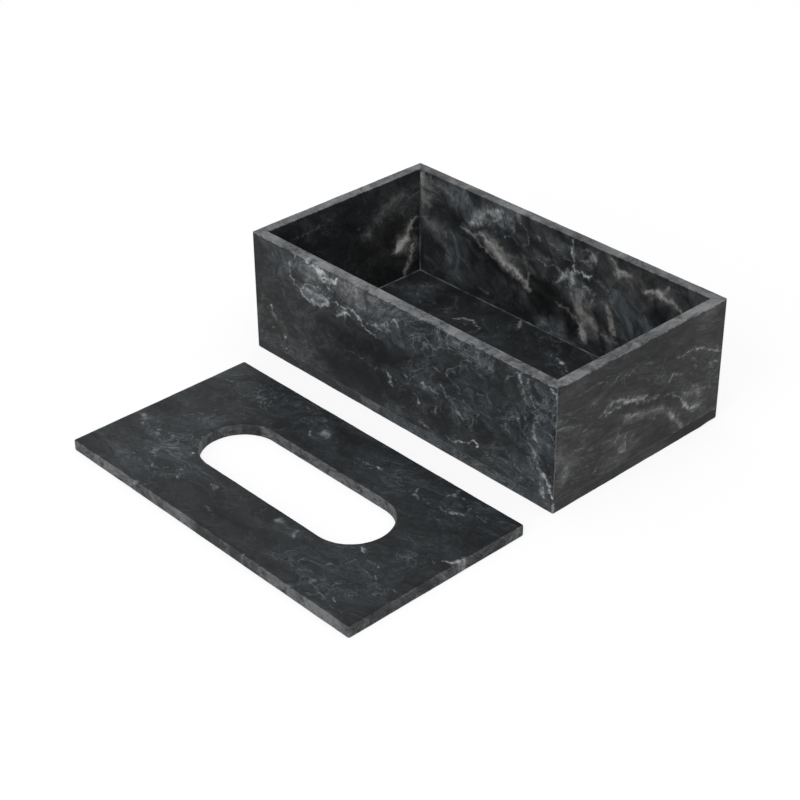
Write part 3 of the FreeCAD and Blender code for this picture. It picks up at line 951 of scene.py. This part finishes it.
def marble(name, offset, tilt, bedding, tone, warmth, contrast, bustle, wisp_density,
           grain_run=ALONG_X, rubbed=0.8, calcite=None, fleck=0.6):
    """Dark veined marble, one slab's own cut of it. Its layers are tilted, and bedding squeezes them by axis.
    Its honed edges are streaked the way grain_run stretches them. calcite is the colour of its thin veins."""
    look = bpy.context.scene.tissue_box_stone
    material, w, surface, place = blank_material(name)
    haze, vein_and_highlight, beige, dark, brown, honed = (
        w.attribute(mark) for mark in ("haze", "vein_and_highlight", "beige", "dark", "brown", "honed")
    )
    tilted = w.add("ShaderNodeMapping", {"Vector": place, "Rotation": tilt}).outputs[0]
    cut = w.add("ShaderNodeMapping", {"Vector": tilted, "Location": offset, "Scale": bedding}).outputs[0]
    folded = use(w, "Folded stone place", Vector=cut, Scale=11.0, Fold=0.035)["Vector"]
    curled = use(w, "Folded stone place", Vector=folded, Scale=60.0, Fold=0.024)["Vector"]

    clouds = use(w, "Stone clouds", Vector=curled, Scale=22.0, Drift=0.55, Mottle=0.85, Fleck=fleck)
    ragged = clouds["Ragged"]
    level = w.math("ADD", w.math("MULTIPLY", clouds["Tone"], bustle), tone)
    level = w.math("ADD", level, w.math("MULTIPLY", haze, HAZE_LIFT))
    level = w.math("SUBTRACT", level, w.math("MULTIPLY", dark, DARK_DROP))
    level = w.math("MULTIPLY", w.math("POWER", contrast, level), GROUND_SHARE, clamp=True)
    warm_zone = w.noise(cut, 12.0, 2.0, 0.55)
    warm_zone = w.between(w.math("ADD", warm_zone, warmth), 0.4, 0.8)
    warm_zone = w.math("MAXIMUM", warm_zone, brown)
    ground = w.mix(warm_zone, opaque(look.cool), opaque(look.warm))
    body = w.mix(level, opaque(look.deep), ground)

    density = w.math("ADD", w.math("MULTIPLY", haze, HAZE_WISPS), wisp_density)
    density = w.math("SUBTRACT", density, w.math("MULTIPLY", w.math("MAXIMUM", dark, brown), DARK_WISPS))
    tint = w.mix(brown, opaque(look.cool_wisps), opaque(look.warm_wisps))
    for scale, sharpness, shown in WISP_LAYERS:
        wisps = use(w, "Ragged wisps", Vector=curled, Scale=scale, Density=density, Sharpness=sharpness)
        body = w.mix(w.math("MULTIPLY", wisps["Mask"], shown), body, tint)

    # White veins; one stroke on the right end is a painted highlight along the wall's lower edge.
    for strokes, paint, (raggedness, patches) in (
        (beige, look.beige, BEIGE_BREAKS),
        (vein_and_highlight, calcite or look.white, WHITE_BREAKS),
    ):
        breaks = w.math("ADD", w.math("MULTIPLY", ragged, raggedness), EVENNESS)
        breaks = w.math("ADD", breaks, w.math("MULTIPLY", clouds["Tone"], patches))
        mask = w.between(w.math("MULTIPLY", strokes, breaks), VEIN_FROM, VEIN_WHOLE)
        body = w.mix(mask, body, opaque(paint))

    grain = use(w, "Stone grain", Vector=place, Scale=GRAIN_SCALE)
    rub = w.math("ADD", honed, w.math("MULTIPLY", ragged, RUB_RAGGED))
    rub = w.math("MULTIPLY", w.between(rub, *RUB_RANGE), w.between(honed, 0.0, POLISH_END))
    along = w.add("ShaderNodeMapping", {"Vector": curled, "Scale": grain_run}).outputs[0]
    sawn = w.noise(along, SAW_SCALE, 4.0, 0.75)
    marks = w.math("ADD", clouds["Tone"], w.math("MULTIPLY", haze, HAZE_MARKS))
    marks = w.math("SUBTRACT", marks, w.math("MULTIPLY", dark, DARK_MARKS))
    marks = w.math("ADD", marks, w.math("MULTIPLY", w.math("SUBTRACT", sawn, 0.5), SAW_SHARE))
    pale = w.mix(w.between(marks, *SAW_RANGE), opaque(look.honed_dark), opaque(look.honed_pale))
    body = w.mix(w.math("MULTIPLY", rub, rubbed), body, pale)

    w.feed(body, surface.inputs["Base Color"])
    smoothest = look.roughness - SCUFF_ROUGHNESS / 2
    rough = w.math("ADD", w.math("MULTIPLY", grain["Scuffs"], SCUFF_ROUGHNESS), smoothest)
    rough = w.math("ADD", rough, w.math("MULTIPLY", rub, RUB_ROUGHNESS))
    w.feed(rough, surface.inputs["Roughness"])
    relief = {"Height": grain["Grain"], "Strength": GRAIN_BUMP, "Distance": BUMP_HEIGHT}
    w.feed(w.add("ShaderNodeBump", relief).outputs[0], surface.inputs["Normal"])
    surface.inputs["Specular IOR Level"].default_value = look.gloss
    return material


# The joint over the base, along the right end, is rubbed full up to the first y and painted near black from
# the second on: painted shadow in the gap where the end wall overhangs the base.
PAINTED_GAP_SHADOW_FADE = (0.022, 0.032)
# Depths in metres over which the rubbed look sets in from a face, over the joint, and below the rim.
RUBBED_DEPTH, OVER_JOINT, BELOW_RIM = (0.003, 0.001), 0.002, (0.0015, 0.0003)
ADHESIVE_STREAKS, ADHESIVE_GLOSS, ADHESIVE_BUMP = 90.0, 0.2, 0.25


def adhesive(name, dusted):
    """Stone adhesive tinted like the marble, wiped while soft and rubbed down with it. One stretch of the
    joint over the base, along
    the right end, is painted near black: painted shadow in the gap where the end wall overhangs the base."""
    look = bpy.context.scene.tissue_box_glue
    material, w, surface, place = blank_material(name)
    wiped = w.noise(place, ADHESIVE_STREAKS, 5.0, 0.65)
    body = w.mix(w.between(wiped, 0.35, 0.7), opaque(look.tint), opaque(dusted))
    x, y, z = w.add("ShaderNodeSeparateXYZ", {"Vector": place}).outputs
    outside_x, outside_y = (
        w.between(w.math("ABSOLUTE", way), *(half - depth for depth in RUBBED_DEPTH))
        for way, half in ((x, HALF_LENGTH), (y, HALF_WIDTH))
    )
    outside = w.math("MAXIMUM", outside_x, outside_y)
    rim = w.between(z, *(RIM - depth for depth in BELOW_RIM))
    above = w.between(z, WALL_FOOT, WALL_FOOT + OVER_JOINT)
    rubbed = w.math("MAXIMUM", rim, w.math("MULTIPLY", outside, above))
    body = w.mix(w.math("MULTIPLY", rubbed, w.between(wiped, 0.3, 0.6)), body, opaque(look.rubbed))
    # Painted shadow: the joint's rear stretch along the right end is coloured near black, where the end wall
    # overhangs the base.
    at_right_end = w.between(x, HALF_LENGTH - OVER_JOINT, HALF_LENGTH)
    painted_gap_shadow = w.math("MULTIPLY", at_right_end, w.between(y, *PAINTED_GAP_SHADOW_FADE))
    painted_gap_shadow = w.math("MULTIPLY", painted_gap_shadow, w.math("SUBTRACT", 1.0, above))
    body = w.mix(painted_gap_shadow, body, opaque(look.painted_gap_shadow))
    w.feed(body, surface.inputs["Base Color"])
    w.feed(w.between(wiped, 0.2, 0.8, 0.4, 0.6), surface.inputs["Roughness"])
    ripple = w.noise(place, GRAIN_SCALE, 3.0, 0.6)
    relief = {"Height": ripple, "Strength": ADHESIVE_BUMP, "Distance": BUMP_HEIGHT}
    w.feed(w.add("ShaderNodeBump", relief).outputs[0], surface.inputs["Normal"])
    surface.inputs["Specular IOR Level"].default_value = ADHESIVE_GLOSS
    return material


# ---- the slabs --------------------------------------------------------------------------------------------
def stroke_values(node, u, v):
    """The drawn strokes of one slab by point. u and v are metres across and down its seen face."""
    kinds = ("vein_and_highlight", "beige", "haze", "dark", "brown")
    return {
        kind: drawn(STROKES.get((node, kind), ()), u * MILLIMETRES, v * MILLIMETRES, 1000 * number)
        for number, kind in enumerate(kinds)
    }


def wall_slab(node, quarter, half_run, half_across, material):
    """One mitred wall, made as the front wall and turned by quarter turns about the box's middle. depth and
    height are each point's place behind the outer face and above the floor."""
    sizes = bpy.context.scene.tissue_box_slabs
    half_film = GLUE_LINE / 2 * math.sqrt(2)
    reach = half_run - half_film
    xs = stops(-reach, reach, EDGE_BAND, EDGE_BAND, sizes.facet)
    ys = stops(0.0, WALL_THICKNESS, EDGE_BAND, INNER_BAND, THICKNESS_STEP)
    zs = stops(WALL_FOOT, RIM, JOINT_BAND, EDGE_BAND, sizes.facet)
    points, quads = lattice_shell(xs, ys, zs)
    along, depth, height = points.T
    along = along * (reach - depth) / reach
    honed = np.zeros(len(points))
    seed = sizes.seed + 10 * quarter

    # the two upright corners
    for side in (-1, 1):
        wide = np.full(len(points), sizes.upright_arris)
        beyond = half_run - side * along
        depth, beyond, onto = round_over(depth, beyond, wide)
        along = side * (half_run - beyond)
        honed = np.maximum(honed, onto * HONED_UPRIGHT)
    # the outer and the inner edge of the rim
    for face, radius, extra in ((0, sizes.outer_arris, 3), (1, sizes.inner_arris, 4)):
        wide = radius * edge_variation(along, sizes.unevenness, seed + extra)
        below = RIM - height
        into = depth if face == 0 else WALL_THICKNESS - depth
        into, below, onto = round_over(into, below, wide)
        depth = into if face == 0 else WALL_THICKNESS - into
        height = RIM - below
        honed = np.maximum(honed, onto)
    # the two edges on the joint
    for face in (0, 1):
        into = depth if face == 0 else WALL_THICKNESS - depth
        into, below, _ = round_over(into, height - WALL_FOOT, np.full(len(points), JOINT_ARRIS))
        depth = into if face == 0 else WALL_THICKNESS - into
        height = WALL_FOOT + below
    honed = np.maximum(honed, np.clip((height - RIM + RIM_FADE) / RIM_FADE, 0, 1))

    flip = -1 if quarter in (2, 3) else 1
    room = half_run if quarter in (0, 1) else half_run - WALL_THICKNESS
    values = stroke_values(node, flip * along + room, RIM - height)
    values["honed"] = honed
    turn = quarter * math.pi / 2
    x, y = along, depth - half_across
    turned_x = x * math.cos(turn) - y * math.sin(turn)
    turned_y = x * math.sin(turn) + y * math.cos(turn)
    placed = np.stack([turned_x, turned_y, height], 1)
    name = node.replace("_slab", "_stone")
    piece = new_piece(name, placed, quads, material, "box", values)
    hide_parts(node)
    return piece


def base_stone(material):
    """The slab under the walls."""
    sizes = bpy.context.scene.tissue_box_slabs
    xs = stops(-HALF_LENGTH, HALF_LENGTH, EDGE_BAND, EDGE_BAND, sizes.broad_facet)
    ys = stops(-HALF_WIDTH, HALF_WIDTH, EDGE_BAND, EDGE_BAND, sizes.broad_facet)
    zs = stops(0.0, BASE_TOP, EDGE_BAND, JOINT_BAND, THICKNESS_STEP)
    points, quads = lattice_shell(xs, ys, zs)
    honed = np.zeros(len(points))
    x, y, z = points.T
    # the four upright corners
    for side_x in (-1, 1):
        for side_y in (-1, 1):
            wide = np.full(len(points), sizes.upright_arris)
            a, b, onto = round_over(HALF_LENGTH - side_x * x, HALF_WIDTH - side_y * y, wide)
            x, y = side_x * (HALF_LENGTH - a), side_y * (HALF_WIDTH - b)
            honed = np.maximum(honed, onto)
    # the edges at the ends, then those along the sides: below, then on the joint
    for side in (-1, 1):
        for top, radius in ((0, sizes.outer_arris), (1, JOINT_ARRIS)):
            wide = radius * edge_variation(y, sizes.unevenness, sizes.seed + 50 + side + 3 * top)
            if side > 0 and not top:
                wide = wide + WORN_EXTRA * np.clip((y - WORN_FROM) / WORN_OVER, 0, 1)
                wide = np.minimum(wide, EDGE_BAND)
            level = BASE_TOP - z if top else z
            a, level, onto = round_over(HALF_LENGTH - side * x, level, wide)
            x, z = side * (HALF_LENGTH - a), BASE_TOP - level if top else level
            honed = np.maximum(honed, onto * (1 - top))
            wide = radius * edge_variation(x, sizes.unevenness, sizes.seed + 60 + side + 3 * top)
            level = BASE_TOP - z if top else z
            b, level, onto = round_over(HALF_WIDTH - side * y, level, wide)
            y, z = side * (HALF_WIDTH - b), BASE_TOP - level if top else level
            honed = np.maximum(honed, onto * (1 - top))
    across, down = x + HALF_LENGTH - WALL_THICKNESS, HALF_WIDTH - WALL_THICKNESS - y
    values = stroke_values("base_slab", across, down)
    values["honed"] = honed
    piece = new_piece("base_stone", np.stack([x, y, z], 1), quads, material, "box", values)
    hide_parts("base_slab")
    return piece


def lid_outline(half_x, half_y, corner, step):
    """The lid's rounded edge in plan, anticlockwise from its left front corner."""
    turn = np.linspace(0, math.pi / 2, 9)
    sin, cos = corner * np.sin(turn), corner * np.cos(turn)
    x, y = half_x - corner, half_y - corner
    run_x, run_y = stops(-x, x, 0, 0, step), stops(-y, y, 0, 0, step)
    stretches = (
        (run_x, -half_y), (x + sin, -y - cos),
        (half_x, run_y), (x + cos, y + sin),
        (run_x[::-1], half_y), (-x - sin, y + cos),
        (-half_x, run_y[::-1]), (-x - cos, -y - sin),
    )
    return np.concatenate([np.stack(np.broadcast_arrays(*stretch), 1)[:-1] for stretch in stretches])


def lid_stone(material):
    """The loose slab with its rounded slot, made of loops of points that run round it: out over the top, down
    the edge, in under the slab and up through the slot."""
    sizes = bpy.context.scene.tissue_box_slabs
    half_x, half_y = (LID_HIGH.x - LID_LOW.x) / 2, (LID_HIGH.y - LID_LOW.y) / 2
    middle = (LID_LOW + LID_HIGH) / 2
    thick = LID_HIGH.z - LID_LOW.z
    outer = lid_outline(half_x, half_y, sizes.lid_corner, sizes.broad_facet)
    count = len(outer)
    reach = (sizes.slot_length - sizes.slot_width) / 2
    off_x, off_y = sizes.slot_shift
    anchor = np.stack([np.clip(outer[:, 0], off_x - reach, off_x + reach), np.full(count, off_y)], 1)
    ray = outer - anchor
    far = np.hypot(*ray.T)
    ray = ray / far[:, None]
    near = np.full(count, sizes.slot_width / 2)
    perimeter = np.concatenate([[0], np.cumsum(np.hypot(*np.diff(outer, axis=0).T))])
    out_top, out_low, in_top, in_low = (
        arris * edge_variation(perimeter, sizes.unevenness, sizes.seed + extra)
        for arris, extra in (
            (sizes.lid_arris, 80), (sizes.lid_arris, 81), (sizes.slot_arris, 82), (sizes.slot_arris, 83),
        )
    )
    across = stops(0.0, 1.0, 0, 0, 1 / LID_LOOPS)
    rolled = [(math.sin(share * math.pi / 2), math.cos(share * math.pi / 2)) for share in ARRIS_SHARES]
    down = (0.25, 0.5, 0.75)
    radial, height, honed = [], [], []

    def loop(distance, level, rubbed):
        radial.append(distance)
        height.append(level)
        honed.append(np.full(count, rubbed))

    for t in across:
        inner, outside = near + in_top, far - out_top
        loop(inner + (outside - inner) * t, np.full(count, thick), 0.0)
    for sin, cos in rolled[1:]:
        loop(far - out_top + out_top * sin, thick - out_top + out_top * cos, 1.0)
    for t in down:
        loop(far, (thick - out_top) * (1 - t) + out_low * t, HONED_EDGE)
    for sin, cos in rolled[:0:-1]:
        loop(far - out_low + out_low * sin, out_low - out_low * cos, 1.0)
    for t in across[::-1]:
        inner, outside = near + in_low, far - out_low
        loop(inner + (outside - inner) * t, np.zeros(count), 0.0)
    for sin, cos in rolled[1:]:
        loop(near + in_low - in_low * sin, in_low - in_low * cos, 1.0)
    for t in down:
        loop(near, in_low * (1 - t) + (thick - in_top) * t, HONED_SLOT)
    for sin, cos in rolled[:0:-1]:
        loop(near + in_top - in_top * sin, thick - in_top + in_top * cos, 1.0)

    flat = anchor[None] + ray[None] * np.stack(radial)[..., None]
    x, y = flat[..., 0].ravel(), flat[..., 1].ravel()
    i, j = np.meshgrid(np.arange(len(radial)), np.arange(count), indexing="ij")
    i2, j2 = (i + 1) % len(radial), (j + 1) % count
    quads = np.stack([i * count + j, i2 * count + j, i2 * count + j2, i * count + j2], -1).reshape(-1, 4)
    values = stroke_values("lid_slab", x + half_x, half_y - y)
    values["honed"] = np.concatenate(honed)
    placed = np.stack([x + middle.x, y + middle.y, np.concatenate(height) + LID_LOW.z], 1)
    piece = new_piece("lid_stone", placed, quads, material, "lid", values)
    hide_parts("lid_slab")
    return piece


# ---- the beads of adhesive --------------------------------------------------------------------------------
# The bead's section for a leg of 1: its corner, one leg's end, its hollow face and the other leg's end.
BEAD_SECTION = ((0.0, 0.0, 0.0), (0.707, 0.707, 0.0), (0.45, 0.0, 0.0), (0.707, -0.707, 0.0))


def bead_tree():
    """Geometry nodes that run a hollow-faced bead along straight inside corners, uneven as it was wiped."""
    tree, w, given = new_tree(
        "Squeezed-out bead",
        "GeometryNodeTree",
        [
            ("Geometry", "Geometry", None), ("Leg", "Float", 0.0009), ("Unevenness", "Float", 0.3),
            ("Step", "Float", 0.001), ("Seed", "Int", 3), ("Material", "Material", None),
        ],
        [("Geometry", "Geometry")],
    )
    run = w.add("GeometryNodeMeshToCurve", {"Mesh": given["Geometry"]}).outputs[0]
    even = {"Curve": run, "Length": given["Step"]}
    run = w.add("GeometryNodeResampleCurve", even, mode="LENGTH").outputs[0]
    place = w.add("GeometryNodeInputPosition").outputs[0]
    ripple = {"Vector": place, "W": given["Seed"], "Scale": 130.0, "Detail": 3.0}
    wave = w.add("ShaderNodeTexNoise", ripple, noise_dimensions="4D").outputs[0]
    wiped = w.math("MULTIPLY", w.math("MULTIPLY", wave, given["Unevenness"]), 1.4)
    leg = w.math("MULTIPLY", given["Leg"], w.math("SUBTRACT", 1.0, wiped))
    facing = w.add("GeometryNodeInputNamedAttribute", {"Name": "bisector"}, data_type="FLOAT_VECTOR")
    faced = {"Curve": run, "Normal": facing.outputs[0]}
    run = w.add("GeometryNodeSetCurveNormal", faced, mode="FREE").outputs[0]
    section = w.add("GeometryNodeCurvePrimitiveQuadrilateral", mode="POINTS")
    for number, point in enumerate(BEAD_SECTION, 1):
        section.inputs[f"Point {number}"].default_value = point
    swept = {"Curve": run, "Profile Curve": section.outputs[0], "Scale": leg, "Fill Caps": True}
    solid = w.add("GeometryNodeCurveToMesh", swept).outputs[0]
    solid = w.add("GeometryNodeFlipFaces", {"Mesh": solid}).outputs[0]
    solid = w.add("GeometryNodeSetMaterial", {"Geometry": solid, "Material": given["Material"]}).outputs[0]
    solid = w.add("GeometryNodeRealizeInstances", {"Geometry": solid}).outputs[0]
    group_output(w, Geometry=solid)
    return tree


def glue_bead(name, runs, tree, material):
    """Beads of adhesive, one along each run. A run is its start, its end and the way its corner faces."""
    look = bpy.context.scene.tissue_box_glue
    guide = bpy.data.meshes.new(name + "_runs")
    points = [p for start, end, _ in runs for p in (start, end)]
    guide.from_pydata(points, [(2 * i, 2 * i + 1) for i in range(len(runs))], [])
    layer = guide.attributes.new("bisector", "FLOAT_VECTOR", "POINT")
    layer.data.foreach_set("vector", [c for *_, facing in runs for _ in range(2) for c in facing])
    piece = bpy.data.objects.new(name, guide)
    bpy.context.scene.collection.objects.link(piece)
    modifier = piece.modifiers.new("Bead", "NODES")
    modifier.node_group = tree
    settings = {"Leg": look.bead_leg, "Unevenness": look.bead_variation, "Material": material}
    for item in tree.interface.items_tree:
        if item.in_out == "INPUT" and item.name in settings:
            modifier[item.identifier] = settings[item.name]
    evaluated = piece.evaluated_get(bpy.context.evaluated_depsgraph_get())
    mesh = bpy.data.meshes.new_from_object(evaluated)
    if not mesh.polygons:
        raise RuntimeError(f"{name}: the bead came out empty")
    piece.modifiers.remove(modifier)
    piece.data = mesh
    mesh.name = name
    bpy.data.meshes.remove(guide)
    mesh.shade_smooth()
    mesh.set_sharp_from_angle(angle=SHARP_FROM)
    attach(piece, "box")
    return piece


# ---- the stage, in metres and degrees ---------------------------------------------------------------------
FLOOR_REACH = 3.0
FRONT_LAMP_PLACE, FRONT_LAMP_SIDE = (0.9, -3.8, 2.7), 3.2
TOP_LAMP_PLACE, TOP_LAMP_SIDE = (0.6, 0.4, 4.0), 3.6
CAMERA_PLACE = (0.6819, -0.69978, 0.59876)
CAMERA_TARGET = (-0.01758, -0.04954, 0.0)
CAMERA_ROLL = -0.5024
LENS_MM, SENSOR_MM = 85.413, 36.0
WHITE = (1.0, 1.0, 1.0, 1.0)


def seen_directly(wiring):
    """1 for what is seen, by itself, in a reflection or through glass, and 0 for what lights a surface."""
    rays = wiring.add("ShaderNodeLightPath").outputs
    seen = wiring.math("MAXIMUM", rays["Is Camera Ray"], rays["Is Transmission Ray"])
    return wiring.math("MAXIMUM", seen, rays["Is Glossy Ray"])


def lay_floor(look):
    """A large pale floor, on which the shadow is lightened."""
    mesh = bpy.data.meshes.new("floor")
    corners = [(-FLOOR_REACH, -FLOOR_REACH, 0), (FLOOR_REACH, -FLOOR_REACH, 0)]
    corners += [(FLOOR_REACH, FLOOR_REACH, 0), (-FLOOR_REACH, FLOOR_REACH, 0)]
    mesh.from_pydata(corners, [], [(0, 1, 2, 3)])
    floor = bpy.data.objects.new("floor", mesh)
    bpy.context.scene.collection.objects.link(floor)
    material, w, surface, _ = blank_material("Floor white")
    surface.inputs["Base Color"].default_value = opaque(look.floor)
    surface.inputs["Roughness"].default_value = 0.9
    seen = w.math("MULTIPLY", seen_directly(w), look.shadow_lift)
    glow = w.add("ShaderNodeEmission", {"Color": WHITE, "Strength": 1.0})
    both = w.add("ShaderNodeMixShader", {0: seen, 1: surface.outputs[0], 2: glow.outputs[0]})
    w.feed(both.outputs[0], material.node_tree.nodes["Material Output"].inputs["Surface"])
    mesh.materials.append(material)


def light_room(look):
    """Even light from all round, from walls that look white."""
    world = bpy.data.worlds.new("Studio")
    world.use_nodes = True
    world.node_tree.nodes.clear()
    w = Wiring(world.node_tree)
    dim = w.add("ShaderNodeBackground", {"Color": WHITE, "Strength": look.sky})
    full = w.add("ShaderNodeBackground", {"Color": WHITE, "Strength": 1.0})
    both = w.add("ShaderNodeMixShader", {0: seen_directly(w), 1: dim.outputs[0], 2: full.outputs[0]})
    w.add("ShaderNodeOutputWorld", {"Surface": both.outputs[0]})
    bpy.context.scene.world = world


def hang_lamp(name, spot, side, power):
    """A large square lamp that points at the middle of the floor."""
    lamp = bpy.data.lights.new(name, "AREA")
    lamp.shape, lamp.size, lamp.energy = "SQUARE", side, power
    holder = bpy.data.objects.new(name, lamp)
    holder.location = spot
    holder.rotation_euler = (-Vector(spot)).to_track_quat("-Z", "Y").to_euler()
    bpy.context.scene.collection.objects.link(holder)


def place_camera():
    """The camera, high in front of the box's right front corner."""
    lens = bpy.data.cameras.new("camera")
    lens.lens, lens.sensor_width, lens.sensor_fit = LENS_MM, SENSOR_MM, "HORIZONTAL"
    lens.clip_start, lens.clip_end = 0.05, 20.0
    camera = bpy.data.objects.new("camera", lens)
    camera.location = CAMERA_PLACE
    towards = Vector(CAMERA_TARGET) - camera.location
    roll = Quaternion((0, 0, 1), math.radians(CAMERA_ROLL))
    camera.rotation_mode = "QUATERNION"
    camera.rotation_quaternion = towards.to_track_quat("-Z", "Y") @ roll
    bpy.context.scene.collection.objects.link(camera)
    bpy.context.scene.camera = camera


# ---- operators and panel ----------------------------------------------------------------------------------
class TISSUEBOX_OT_base_slab(bpy.types.Operator):
    """Make the base slab"""

    bl_idname = "tissue_box.base_slab"
    bl_label = "Base Slab"

    def execute(self, context):
        cut = marble(
            "Base marble", offset=(0.31, -0.12, 0.40), tilt=(0.0, 0.0, 0.3), bedding=(0.7, 0.8, 1.7),
            tone=-0.02, warmth=-0.3, contrast=50.0, bustle=0.7, wisp_density=-0.02,
        )
        base_stone(cut)
        return {"FINISHED"}


class TISSUEBOX_OT_wall_slabs(bpy.types.Operator):
    """Make the four mitred wall slabs"""

    bl_idname = "tissue_box.wall_slabs"
    bl_label = "Wall Slabs"

    def execute(self, context):
        long_walls, end_walls = (HALF_LENGTH, HALF_WIDTH), (HALF_WIDTH, HALF_LENGTH)
        # The front wall's and the right end's tones are set a little lighter to stand in for the floor's light
        # mirrored in them: partly painted reflection, partly the stone's own tone.
        front = marble(
            "Front wall marble", offset=(0.0, 0.0, 0.0), tilt=(0.0, 0.35, 0.0), bedding=(0.8, 1.1, 1.1),
            tone=-0.012, warmth=-0.25, contrast=60.0, bustle=1.15, wisp_density=0.01,
        )
        right = marble(
            "Right end marble", offset=(1.2, 0.4, 0.3), tilt=(0.15, 0.0, 0.0), bedding=(1.1, 0.55, 1.35),
            tone=0.075, warmth=0.4, contrast=45.0, bustle=0.95, wisp_density=-0.02, grain_run=ALONG_Y,
        )
        back = marble(
            "Back wall marble", offset=(2.3, 0.9, 0.1), tilt=(0.0, -0.7, 0.0), bedding=(0.85, 1.1, 1.15),
            tone=0.12, warmth=0.05, contrast=100.0, bustle=1.15, wisp_density=-0.08, fleck=0.15,
        )
        left = marble(
            "Left end marble", offset=(3.1, 0.2, 0.8), tilt=(0.5, 0.0, 0.0), bedding=(1.1, 0.8, 1.1),
            tone=0.03, warmth=0.1, contrast=60.0, bustle=0.8, wisp_density=0.0, grain_run=ALONG_Y,
            calcite=context.scene.tissue_box_stone.calcite,
        )
        wall_slab("front_wall_slab", 0, *long_walls, front)
        wall_slab("right_end_slab", 1, *end_walls, right)
        wall_slab("back_wall_slab", 2, *long_walls, back)
        wall_slab("left_end_slab", 3, *end_walls, left)
        return {"FINISHED"}


class TISSUEBOX_OT_lid_slab(bpy.types.Operator):
    """Make the loose lid slab with its tissue slot"""

    bl_idname = "tissue_box.lid_slab"
    bl_label = "Lid Slab"

    def execute(self, context):
        cut = marble(
            "Lid marble", offset=(4.2, 0.5, 0.6), tilt=(0.0, 0.0, -0.2), bedding=(0.7, 1.2, 1.0),
            tone=-0.03, warmth=-0.3, contrast=45.0, bustle=0.9, wisp_density=0.02, rubbed=0.55,
        )
        lid_stone(cut)
        return {"FINISHED"}


class TISSUEBOX_OT_adhesive(bpy.types.Operator):
    """Finish the glue lines and make the squeezed-out beads"""

    bl_idname = "tissue_box.adhesive"
    bl_label = "Adhesive"

    def execute(self, context):
        look = context.scene.tissue_box_glue
        glue = adhesive("Stone adhesive", look.filled)
        for node in ("base_joint_glue", "corner_joint_glue"):
            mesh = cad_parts[node].data
            mesh.materials.clear()
            mesh.materials.append(glue)
        wiped = adhesive("Wiped adhesive", look.bead)
        tree = bead_tree()
        in_x, in_y = HALF_LENGTH - WALL_THICKNESS, HALF_WIDTH - WALL_THICKNESS
        turns = ((1, 1), (-1, 1), (-1, -1), (1, -1))
        corners = [Vector((-x * in_x, -y * in_y, BASE_TOP)) for x, y in turns]
        feet = []
        for start, end, inward in zip(corners, corners[1:] + corners[:1], ((0, 1), (-1, 0), (0, -1), (1, 0))):
            feet.append((start, end, Vector((*inward, 1)).normalized()))
        uprights = []
        for foot, inward in zip(corners, turns):
            low, high = (Vector((foot.x, foot.y, corner.z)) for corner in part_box("corner_glue_beads"))
            uprights.append((low, high, Vector((*inward, 0)).normalized()))
        for name, node, runs in (
            ("floor_bead", "floor_glue_bead", feet),
            ("corner_beads", "corner_glue_beads", uprights),
        ):
            bead = glue_bead(name, runs, tree, wiped)
            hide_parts(node)
        return {"FINISHED"}


class TISSUEBOX_OT_stage(bpy.types.Operator):
    """Lay the floor, light the box and place the camera"""

    bl_idname = "tissue_box.stage"
    bl_label = "Floor, Light and Camera"

    def execute(self, context):
        look = context.scene.tissue_box_stage
        lay_floor(look)
        light_room(look)
        hang_lamp("front lamp", FRONT_LAMP_PLACE, FRONT_LAMP_SIDE, look.front_lamp)
        hang_lamp("top lamp", TOP_LAMP_PLACE, TOP_LAMP_SIDE, look.top_lamp)
        place_camera()
        context.scene.view_settings.view_transform = "Standard"
        return {"FINISHED"}


class TISSUEBOX_PT_panel(bpy.types.Panel):
    """The pieces of the tissue box and their settings"""

    bl_label = "Tissue Box"
    bl_idname = "TISSUEBOX_PT_panel"
    bl_space_type = "VIEW_3D"
    bl_region_type = "UI"
    bl_category = "Tissue Box"

    def draw(self, context):
        for group in ("tissue_box_slabs", "tissue_box_stone", "tissue_box_glue", "tissue_box_stage"):
            settings = getattr(context.scene, group)
            box = self.layout.box()
            for key in settings.bl_rna.properties.keys():
                if key not in ("rna_type", "name"):
                    box.prop(settings, key)
        for operator in OPERATORS:
            self.layout.operator(operator.bl_idname)


GROUPS = {
    "tissue_box_slabs": SlabSizes,
    "tissue_box_stone": StoneColours,
    "tissue_box_glue": GlueLook,
    "tissue_box_stage": StageLook,
}
OPERATORS = (
    TISSUEBOX_OT_base_slab,
    TISSUEBOX_OT_wall_slabs,
    TISSUEBOX_OT_lid_slab,
    TISSUEBOX_OT_adhesive,
    TISSUEBOX_OT_stage,
)


def register():
    """Registers the settings, the operators and the panel."""
    for name, group in GROUPS.items():
        bpy.utils.register_class(group)
        setattr(bpy.types.Scene, name, PointerProperty(type=group))
    for operator in (*OPERATORS, TISSUEBOX_PT_panel):
        bpy.utils.register_class(operator)


def unregister():
    """Takes them away again."""
    for operator in reversed((*OPERATORS, TISSUEBOX_PT_panel)):
        bpy.utils.unregister_class(operator)
    for name, group in GROUPS.items():
        delattr(bpy.types.Scene, name)
        bpy.utils.unregister_class(group)


def main():
    """Builds the whole object and its stage."""
    register()
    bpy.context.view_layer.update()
    bpy.ops.tissue_box.base_slab()
    bpy.ops.tissue_box.wall_slabs()
    bpy.ops.tissue_box.lid_slab()
    bpy.ops.tissue_box.adhesive()
    bpy.ops.tissue_box.stage()


if __name__ == "__main__":
    main()
